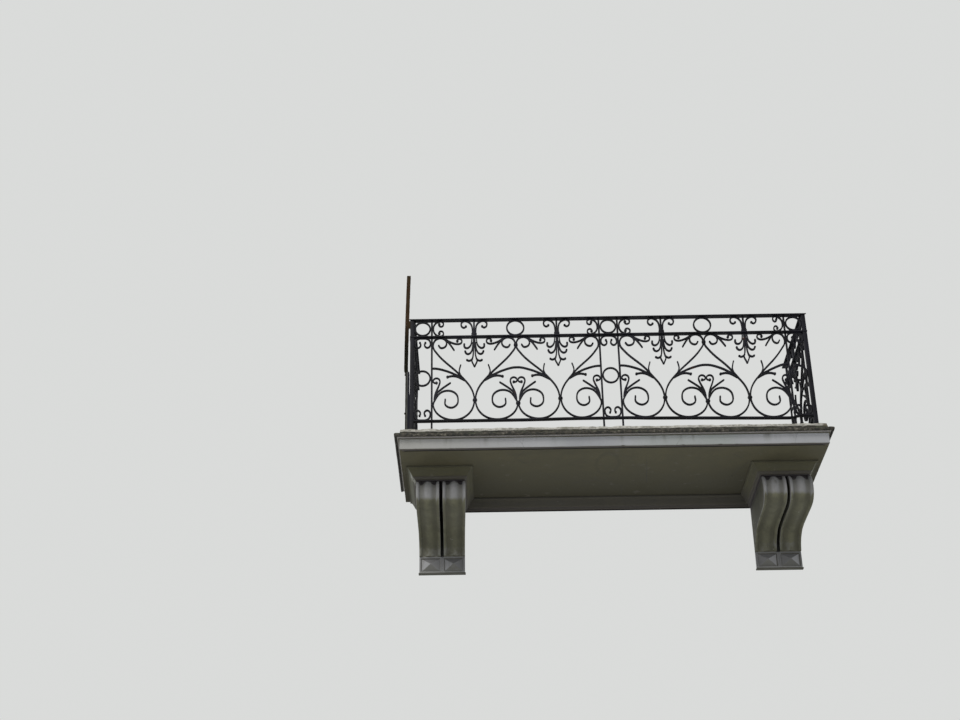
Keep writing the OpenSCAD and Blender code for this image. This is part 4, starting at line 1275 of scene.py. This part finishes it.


# %% [markdown]
# ## Painted stone
# The slab was painted grey. The fascia is still clean, with a painted highlight along its top
# and a painted shadow line under the narrow band, which is painted light. Moss and soot sit in
# the crumbled nosing, rain has left dark runs under it, and the soffit is olive, partly with damp
# and partly as painted shade, which deepens towards the wall. The drip groove is painted near
# black as shade. One material does it all, from the height, the place and the way a face looks.

# %% The slab's weathered paint


def slab_paint():
    f = Finish("weathered_slab_paint")
    broad = f.noise(0.45, 4.0)
    patch = f.noise(0.09, 6.0, 0.62, shift=2.0)
    grain = f.noise(0.006, 6.0, 0.7)
    runs = f.noise(0.035, 4.0, 0.6, stretch=(1.0, 1.0, 9.0), shift=5.0)
    paint_and_light = f.mix((0.196, 0.199, 0.207), (0.246, 0.249, 0.256), f.mask(broad, 0.35, 0.65))
    paint_and_light = f.mix(paint_and_light, (0.200, 0.218, 0.200), f.mask(f.noise(0.6, 3.0, shift=9.0), 0.44, 0.64) * 0.8)
    paint_and_light = f.mix(paint_and_light, (0.215, 0.205, 0.188), f.mask(0.0 - f.x, 0.3, 1.5) * 0.6)
    # Painted highlight: the top 24 mm of the fascia is made up to 85 % lighter, against the shade under the
    # nosing.
    paint_and_light = f.shade(paint_and_light, 0.92 + 0.16 * patch + 0.85 * f.mask(f.z, 0.000, 0.024))
    # Painted shadow: a dark line along the top of the fascia, under the band.
    paint_and_light = f.mix(paint_and_light, (0.120, 0.118, 0.108), f.mask(f.z, 0.0225, 0.0255))
    run_mask = f.mask(runs, 0.52, 0.74) * f.mask(f.z, -0.062, 0.02)
    paint_and_light = f.mix(paint_and_light, (0.105, 0.104, 0.088), run_mask * 0.55)
    foot = f.mask(0.0 - f.z, 0.046, 0.057) * (0.35 + 0.65 * f.mask(patch, 0.38, 0.62))
    paint_and_light = f.mix(paint_and_light, (0.085, 0.083, 0.066), foot * 0.75)
    olive = f.mix((0.070, 0.063, 0.033), (0.088, 0.079, 0.042), f.mask(patch, 0.35, 0.66))
    # Painted shade: the soffit grows darker from the front towards the wall.
    wall_shade = f.mask(f.y + 0.16 * broad, -0.85, 0.02)
    olive = f.mix(olive, (0.030, 0.027, 0.013), wall_shade * 0.9)
    stains = f.mask(f.noise(0.2, 5.0, 0.6, stretch=(2.4, 1.0, 1.0), shift=11.0), 0.55, 0.72)
    olive = f.mix(olive, (0.046, 0.042, 0.024), stains * 0.5)
    from_ring = ((f.x + 0.037) * 11.8) ** 2 + ((f.y + 0.643) * 5.6) ** 2 + 1.2 * (patch - 0.5)
    ring = f.mask(from_ring, 0.55, 0.95) * (1.0 - f.mask(from_ring, 1.05, 1.5))
    olive = f.mix(olive, (0.046, 0.042, 0.024), ring * 0.45)
    bloom = f.mask(f.noise(0.05, 5.0, 0.6, shift=19.0), 0.62, 0.70)
    olive = f.mix(olive, (0.105, 0.098, 0.078), bloom * 0.35)
    # Downward faces take the olive colour: partly soot and damp, partly painted shade.
    below = f.mask(0.0 - f.up, 0.35, 0.75)
    colour = f.mix(paint_and_light, olive, below)
    strip = f.mask(0.0 - f.wear(), 0.15, 0.45)
    colour = f.mix(colour, (0.070, 0.060, 0.058), strip * 0.8)
    # Painted shade: the drip groove is made near black.
    colour = f.mix(colour, (0.014, 0.013, 0.012), f.mask(0.0 - f.wear(), 0.55, 0.95))
    crumbs = f.noise(0.013, 5.0, 0.66, shift=13.0)
    # Painted light: the narrow band under the nosing is made pale, against the nosing's shade.
    band = f.mask(f.wear(), 0.02, 0.22) * (1.0 - f.mask(f.wear(), 0.28, 0.45))
    colour = f.mix(colour, (0.430, 0.410, 0.395), band * 0.9)
    moss = f.mix((0.005, 0.005, 0.003), (0.030, 0.026, 0.018), f.mask(crumbs, 0.42, 0.55))
    moss = f.mix(moss, (0.130, 0.120, 0.095), f.mask(crumbs, 0.57, 0.63) * f.mask(patch, 0.42, 0.58) * 0.7)
    green = f.mask(f.up, 0.15, 0.8) * f.mask(f.noise(0.05, 5.0, shift=17.0), 0.42, 0.60)
    moss = f.mix(moss, (0.028, 0.036, 0.013), green * 0.8)
    grown = f.mask(f.wear(), 0.45, 0.75)
    colour = f.mix(colour, moss, grown)
    colour = f.shade(colour, 0.86 + 0.28 * grain)
    lines = f.add("ShaderNodeTexVoronoi", {"feature": "DISTANCE_TO_EDGE"},
                  {"Vector": f.place, "Scale": 1.7, "Randomness": 1.0}, "Distance")
    crack = (1.0 - f.mask(lines + 0.012 * patch, 0.006, 0.0085)) * f.mask(broad, 0.46, 0.56)
    colour = f.mix(colour, (0.045, 0.043, 0.038), crack * 0.7)
    height = 0.6 * crumbs * grown + 0.25 * patch + 0.2 * grain
    normal = f.bump(height - 0.5 * crack, 0.005, 0.6)
    return f.done(colour, 0.72 + 0.2 * patch, normal)


# %% [markdown]
# ## Cement
# The cement on the slab is the palest thing on the balcony: coarse, chalky on its upper
# edge, with grains of sand and a little moss where water stands.

# %% Rough cement


def rough_cement():
    f = Finish("rough_cement")
    sand = f.noise(0.004, 6.0, 0.75)
    lumps = f.noise(0.020, 5.0, 0.66, shift=4.0)
    colour = f.mix((0.170, 0.162, 0.138), (0.335, 0.325, 0.290), f.mask(lumps, 0.36, 0.60))
    colour = f.mix(colour, (0.120, 0.115, 0.088), f.mask(f.noise(0.10, 5.0, shift=8.0), 0.52, 0.68) * 0.8)
    crumbs = f.mask(0.026 * lumps - f.z, -0.077, -0.070)
    dark = f.mix((0.006, 0.006, 0.004), (0.026, 0.023, 0.015), f.mask(lumps, 0.42, 0.60))
    colour = f.mix(colour, dark, crumbs)
    moss = f.mask(f.x + 0.03 * lumps, 1.545, 1.575)
    colour = f.mix(colour, (0.055, 0.045, 0.024), moss * 0.85)
    colour = f.shade(colour, 0.8 + 0.4 * sand)
    normal = f.bump(0.6 * lumps + 0.4 * sand, 0.006, 0.8)
    return f.done(colour, 0.86 + 0.1 * sand, normal)


# %% [markdown]
# ## Sooty render
# The consoles, their mouldings and the wall plates have a smooth render, painted grey. The
# shoulders that the rain washes are pale, the faces under them are olive with soot and painted
# shade, and on the edges the paint has gone, with a painted highlight there too. Painted shade
# also lies on the plates and their upper facets, in the flutes, round the plates' fields, on the
# consoles' inner sides and in the corners of the mouldings, and the outer faces of the caps and
# plates carry painted light. The wear value marks those edges on the consoles, from 0 to 1. It
# is under 0 in the flutes, -1 on a console's sides and -2 on the web, which is painted near
# black as the shade of the gap between the two.

# %% Render under soot


def sooty_render():
    f = Finish("sooty_render")
    broad = f.noise(0.22, 4.0, shift=1.0)
    patch = f.noise(0.05, 6.0, 0.64, shift=6.0)
    grain = f.noise(0.005, 6.0, 0.7)
    runs = f.noise(0.028, 4.0, 0.6, stretch=(1.0, 1.0, 8.0), shift=15.0)
    down = 0.0 - f.z
    hollow = f.mask(0.0 - f.wear(), 0.04, 0.50)
    side = f.mask(0.0 - f.wear(), 0.75, 0.95)
    plate = f.mask(down, 0.528, 0.536)
    outward = f.mask(f.apart(f.normal)[0] * f.x, 0.25, 0.6)
    paint = f.mix((0.186, 0.184, 0.182), (0.242, 0.239, 0.237), f.mask(broad, 0.36, 0.64))
    # Painted shade: the wall plates are made a quarter darker. The right half is made 14 % darker as well.
    paint = f.shade(paint, (1.0 - 0.25 * plate) * (1.0 - 0.14 * f.mask(f.x, 0.0, 0.5)))
    soot = f.mix((0.086, 0.083, 0.048), (0.130, 0.126, 0.074), f.mask(patch, 0.36, 0.66))
    # Painted shade: on the sides that don't face outwards, such as those in the gap of a pair, the soot is up
    # to half as bright.
    soot = f.shade(soot, 1.0 - 0.5 * side * (1.0 - outward))
    # Soot and painted shade: the downward faces, the lower part and the sides of each console take the olive
    # colour.
    low = f.mask(down, 0.38, 0.46) * (1.0 - plate) * (1.0 - 0.5 * f.mask(patch, 0.45, 0.62))
    soot_and_shade = f.mask(0.55 * (0.0 - f.up) + 0.35 * (broad - 0.5), 0.14, 0.34) * (0.92 - 0.60 * plate)
    colour = f.mix(paint, soot, soot_and_shade.sum("MAXIMUM", 0.92 * side).sum("MAXIMUM", 0.85 * low))
    # Painted shade in the flutes and in the line round each field of a plate.
    colour = f.mix(colour, (0.060, 0.057, 0.038), hollow * (0.55 - 0.55 * side))
    # Painted shadow on the upward facets of the plates.
    upper_facet_shade = f.mask(f.up, 0.25, 0.45) * plate
    colour = f.mix(colour, (0.085, 0.082, 0.084), upper_facet_shade * 0.4)
    # Painted light on the facets of the plates that face outwards.
    colour = f.mix(colour, (0.270, 0.268, 0.270), outward * plate * 0.7)
    colour = f.mix(colour, (0.070, 0.066, 0.048), f.mask(runs, 0.55, 0.75) * 0.55)
    # Pale patches on the edges: worn paint, and a painted highlight on the rounded bands.
    edge = f.mask(f.wear(), 0.15, 0.9) * f.mask(patch, 0.36, 0.58)
    colour = f.mix(colour, (0.235, 0.232, 0.215), edge * 0.6)
    above = f.mask(f.z, -0.1550, -0.1535)
    near_wall = f.mask(f.y, -0.30, -0.05)
    cap = f.mix((0.068, 0.063, 0.032), (0.050, 0.045, 0.034), near_wall)
    # Painted light on the caps' outer sides.
    cap = f.mix(cap, (0.130, 0.130, 0.098), outward * 0.65)
    # Painted shade: the lower part of each cap, in the hollow over the console, is darker and purple.
    cap = f.mix(cap, (0.058, 0.050, 0.044), f.mask(down, 0.116, 0.126) * 0.7)
    colour = f.mix(colour, f.shade(cap, 0.8 + 0.4 * patch), above * 0.9)
    # Painted shade in the corner where the mouldings meet the soffit.
    colour = f.mix(colour, (0.036, 0.033, 0.022), f.mask(f.z, -0.076, -0.058) * 0.4)
    peeled = f.mask(f.noise(0.07, 7.0, 0.68, shift=21.0), 0.640, 0.665) * (1.0 - 0.8 * above)
    colour = f.mix(colour, (0.300, 0.295, 0.250), peeled * 0.5)
    shadow = f.mask(down, 0.140, 0.150) * (1.0 - f.mask(down - 0.034 * hollow, 0.158, 0.170))
    colour = f.mix(colour, (0.026, 0.021, 0.024), shadow * (0.9 - 0.5 * side))
    flaked = f.mask(0.0 - f.y, 0.46, 0.54) * f.mask(down, 0.085, 0.105) * (1.0 - f.mask(down, 0.20, 0.24))
    flaked = flaked * outward * above.sum("MAXIMUM", side) * f.mask(0.0 - f.x, 0.5, 0.6)
    flaked = flaked * f.mask(f.noise(0.02, 5.0, shift=25.0), 0.44, 0.52)
    colour = f.mix(colour, (0.42, 0.42, 0.36), flaked * 0.75)
    ledge = f.mask(down, 0.648, 0.652) * (1.0 - f.mask(down, 0.659, 0.661))
    colour = f.mix(colour, (0.240, 0.238, 0.225), ledge * 0.6)
    # Painted shade on the foot strip under each plate.
    colour = f.mix(colour, (0.050, 0.048, 0.032), f.mask(down, 0.661, 0.663) * 0.75)
    # Painted shade: the web between two consoles is made near black, as the shade of the gap.
    colour = f.mix(colour, (0.006, 0.006, 0.004), f.mask(0.0 - f.wear(), 1.3, 1.6))
    colour = f.shade(colour, 0.88 + 0.24 * grain)
    normal = f.bump(0.5 * patch + 0.25 * grain - 0.3 * peeled, 0.003, 0.6)
    return f.done(colour, 0.70 + 0.2 * patch, normal)


# %% [markdown]
# ## Zinc and rust
# The angle is galvanised steel that has gone dull. The loose bar beside it was never
# painted, so it is rust from top to foot. Noise at two sizes gives each its patches.

# %% Zinc and rust


def dull_zinc():
    """Galvanised steel goes dull, with dark bloom and a few brown runs."""
    f = Finish("dull_zinc")
    bloom = f.noise(0.025, 5.0, 0.6)
    colour = f.mix((0.040, 0.040, 0.036), (0.068, 0.069, 0.062), f.mask(bloom, 0.35, 0.66))
    runs = f.noise(0.012, 4.0, 0.6, stretch=(1.0, 1.0, 10.0), shift=3.0)
    brown = f.mask(runs, 0.58, 0.70)
    colour = f.mix(colour, (0.075, 0.050, 0.036), brown * 0.5)
    colour = f.mix(colour, (0.006, 0.006, 0.010), f.mask(f.x, -1.5285, -1.5265))
    normal = f.bump(f.noise(0.004, 5.0, 0.7, shift=5.0), 0.0005, 0.6)
    return f.done(colour, 0.60 + 0.3 * bloom, normal, metallic=0.06 - 0.05 * brown, ior=1.2)


def deep_rust():
    """The loose bar is rust all over, redder high up and near black at its foot."""
    f = Finish("deep_rust")
    scale = f.noise(0.008, 7.0, 0.7)
    patch = f.noise(0.05, 5.0, 0.6, shift=4.0)
    red = f.mix((0.016, 0.011, 0.005), (0.026, 0.017, 0.008), f.mask(patch, 0.36, 0.64))
    red = f.mix(red, (0.036, 0.011, 0.007), f.mask(scale, 0.50, 0.62) * 0.6)
    dark = f.mix((0.0025, 0.0025, 0.001), (0.006, 0.0055, 0.002), f.mask(scale, 0.40, 0.62))
    colour = f.mix(dark, red, f.mask(f.z + 0.1 * patch, 0.85, 1.20))
    colour = f.shade(colour, 0.75 + 0.5 * scale)
    normal = f.bump(scale, 0.0012, 0.8)
    return f.done(colour, 0.78 + 0.18 * scale, normal, ior=1.15)


iron_finish = black_iron()
slab_finish = slab_paint()
cement_finish = rough_cement()
render_finish = sooty_render()
zinc_finish = dull_zinc()
rust_finish = deep_rust()
print("materials", len(bpy.data.materials))

# %% [markdown]
# # The pieces
# Every piece but the lumps of mortar takes the place of its CAD node, and gets its finish.

# %% Stone pieces


def render_piece(name, grids, node, smooth=40.0, weld=False):
    """A piece under sooty render that takes the place of one node."""
    make_piece(name, grids, render_finish, [node], smooth, weld)


make_piece("slab_stone", slab, slab_finish, ["slab"], 50.0, weld=True)
make_piece("cement_topping", screed, cement_finish, ["screed"], 60.0, weld=True)
make_piece("mortar_lumps", lumps, cement_finish, (), 60.0, weld=True)
for word in ("left", "right"):
    render_piece("mould_cap_" + word, caps[word], "bed_mould_" + word, 32.0, weld=True)
    render_piece("diamond_plate_" + word, plates[word], "wall_plate_" + word)
render_piece("mould_along_wall", wall_mould, "bed_mould_wall", 32.0)
for word, grids in consoles.items():
    render_piece("scroll_console_" + word, grids, "console_" + word)

# %% Iron pieces


def iron_piece(name, grids, node):
    """A piece of black iron that takes the place of one node."""
    make_piece(name, grids, iron_finish, [node])


bay_x = CENTRE_BAR_X + BAR / 2
bay_y = SIDE_BAR_Y + BAR / 2
narrow = (BAR + CORNER_GAP) / 2
for word, side in (("left", -1), ("right", 1)):
    iron_piece("scrollwork_front_" + word, on_front(bay, bay_x, side), "scrolls_front_" + word)
    iron_piece("frieze_scrolls_front_" + word, on_front(lifted(frieze_bay), bay_x, side),
               "frieze_front_" + word)
    iron_piece("scrollwork_side_" + word, on_side(half_bay, bay_y, side), "scrolls_side_" + word)
    iron_piece("frieze_scrolls_side_" + word, on_side(lifted(frieze_side), bay_y, side),
               "frieze_side_" + word)
    iron_piece("narrow_panel_front_" + word, on_front(corner_panel, FRONT_BAR_X + narrow, side),
               "pilaster_front_" + word)
    iron_piece("narrow_panel_side_" + word, on_side(corner_panel, SIDE_BAR_Y - narrow, side),
               "pilaster_side_" + word)
    iron_piece("post_" + word, posts[word], "corner_post_" + word)
    iron_piece("upright_bars_side_" + word, side_bars[word], "side_bars_" + word)
iron_piece("narrow_panel_centre", on_front(centre_panel, 0.0), "pilaster_centre")
iron_piece("upright_bars_front", front_bars, "front_bars")
for word in ("front", "left", "right"):
    iron_piece("hand_rail_" + word, handrail[word], "handrail_" + word)
    iron_piece("upper_rail_" + word, frieze_rail[word], "frieze_rail_" + word)
    iron_piece("lower_rail_" + word, bottom_rail[word], "bottom_rail_" + word)
make_piece("steel_angle", steel_angle, zinc_finish, ["upright_angle"])
make_piece("angle_bolts", bolts, zinc_finish, ["upright_clamps"])
make_piece("loose_rusty_bar", loose_bar, rust_finish, ["upright_bar"])

# %% [markdown]
# ## Light and floor
# The photograph has an overcast sky: soft light from above and in front, little from below.
# A plain world gives the sky, one large lamp in front gives it a direction, and a floor at
# street level sends up about half the light that its look suggests. The camera sees a pale
# background.

# %% Sky, lamp and floor
STREET_Z = -7.2
PALE = (0.70, 0.71, 0.70)


def seen_rays(tree):
    """1 for the rays that show the background: the camera's own, off metal, through glass."""
    ray = tree.nodes.new("ShaderNodeLightPath")
    camera_ray, glossy, passing = (Wire(ray.outputs["Is " + kind + " Ray"]) for kind in
                                   ("Camera", "Glossy", "Transmission"))
    return camera_ray.sum("MAXIMUM", glossy.sum("MAXIMUM", passing))


def plain_floor():
    """A floor that looks pale and keeps shadows, but sends up less light than it shows."""
    f = Finish("plain_floor")
    colour = f.mix((0.42, 0.42, 0.41), (0.80, 0.80, 0.79), seen_rays(f.tree))
    return f.done(colour, 0.9, (0.0, 0.0, 0.0))


floor_mesh = bpy.data.meshes.new("street_floor")
reach = 60.0
floor_mesh.from_pydata([(-reach, -reach, STREET_Z), (reach, -reach, STREET_Z), (reach, reach, STREET_Z),
                        (-reach, reach, STREET_Z)], [], [(0, 1, 2, 3)])
floor = bpy.data.objects.new("street_floor", floor_mesh)
floor_mesh.materials.append(plain_floor())
bpy.context.scene.collection.objects.link(floor)

world = bpy.data.worlds.new("overcast_sky")
bpy.context.scene.world = world
world.use_nodes = True
nodes, links = world.node_tree.nodes, world.node_tree.links
sky = nodes["Background"]
sky.inputs["Color"].default_value = (0.93, 0.96, 1.0, 1.0)
sky.inputs["Strength"].default_value = 0.95
seen = nodes.new("ShaderNodeBackground")
seen.inputs["Color"].default_value = (*PALE, 1.0)
seen.inputs["Strength"].default_value = 1.0
either = nodes.new("ShaderNodeMixShader")
plug(either.inputs["Fac"], seen_rays(world.node_tree))
links.new(sky.outputs[0], either.inputs[1])
links.new(seen.outputs[0], either.inputs[2])
links.new(either.outputs[0], nodes["World Output"].inputs["Surface"])

lamp_data = bpy.data.lights.new("soft_lamp", "AREA")
lamp_data.shape = "DISK"
lamp_data.size = 9.0
lamp_data.energy = 1900.0
lamp_data.color = (1.0, 0.985, 0.96)
lamp = bpy.data.objects.new("soft_lamp", lamp_data)
bpy.context.scene.collection.objects.link(lamp)
lamp_place = np.array([-5.5, -10.5, 8.5])
aim = np.array([0.0, -0.5, 0.2]) - lamp_place
turn = Vector(aim.tolist()).to_track_quat("-Z", "Y").to_matrix().to_4x4()
lamp.matrix_world = Matrix.Translation(lamp_place.tolist()) @ turn
bpy.context.scene.view_settings.view_transform = "Standard"
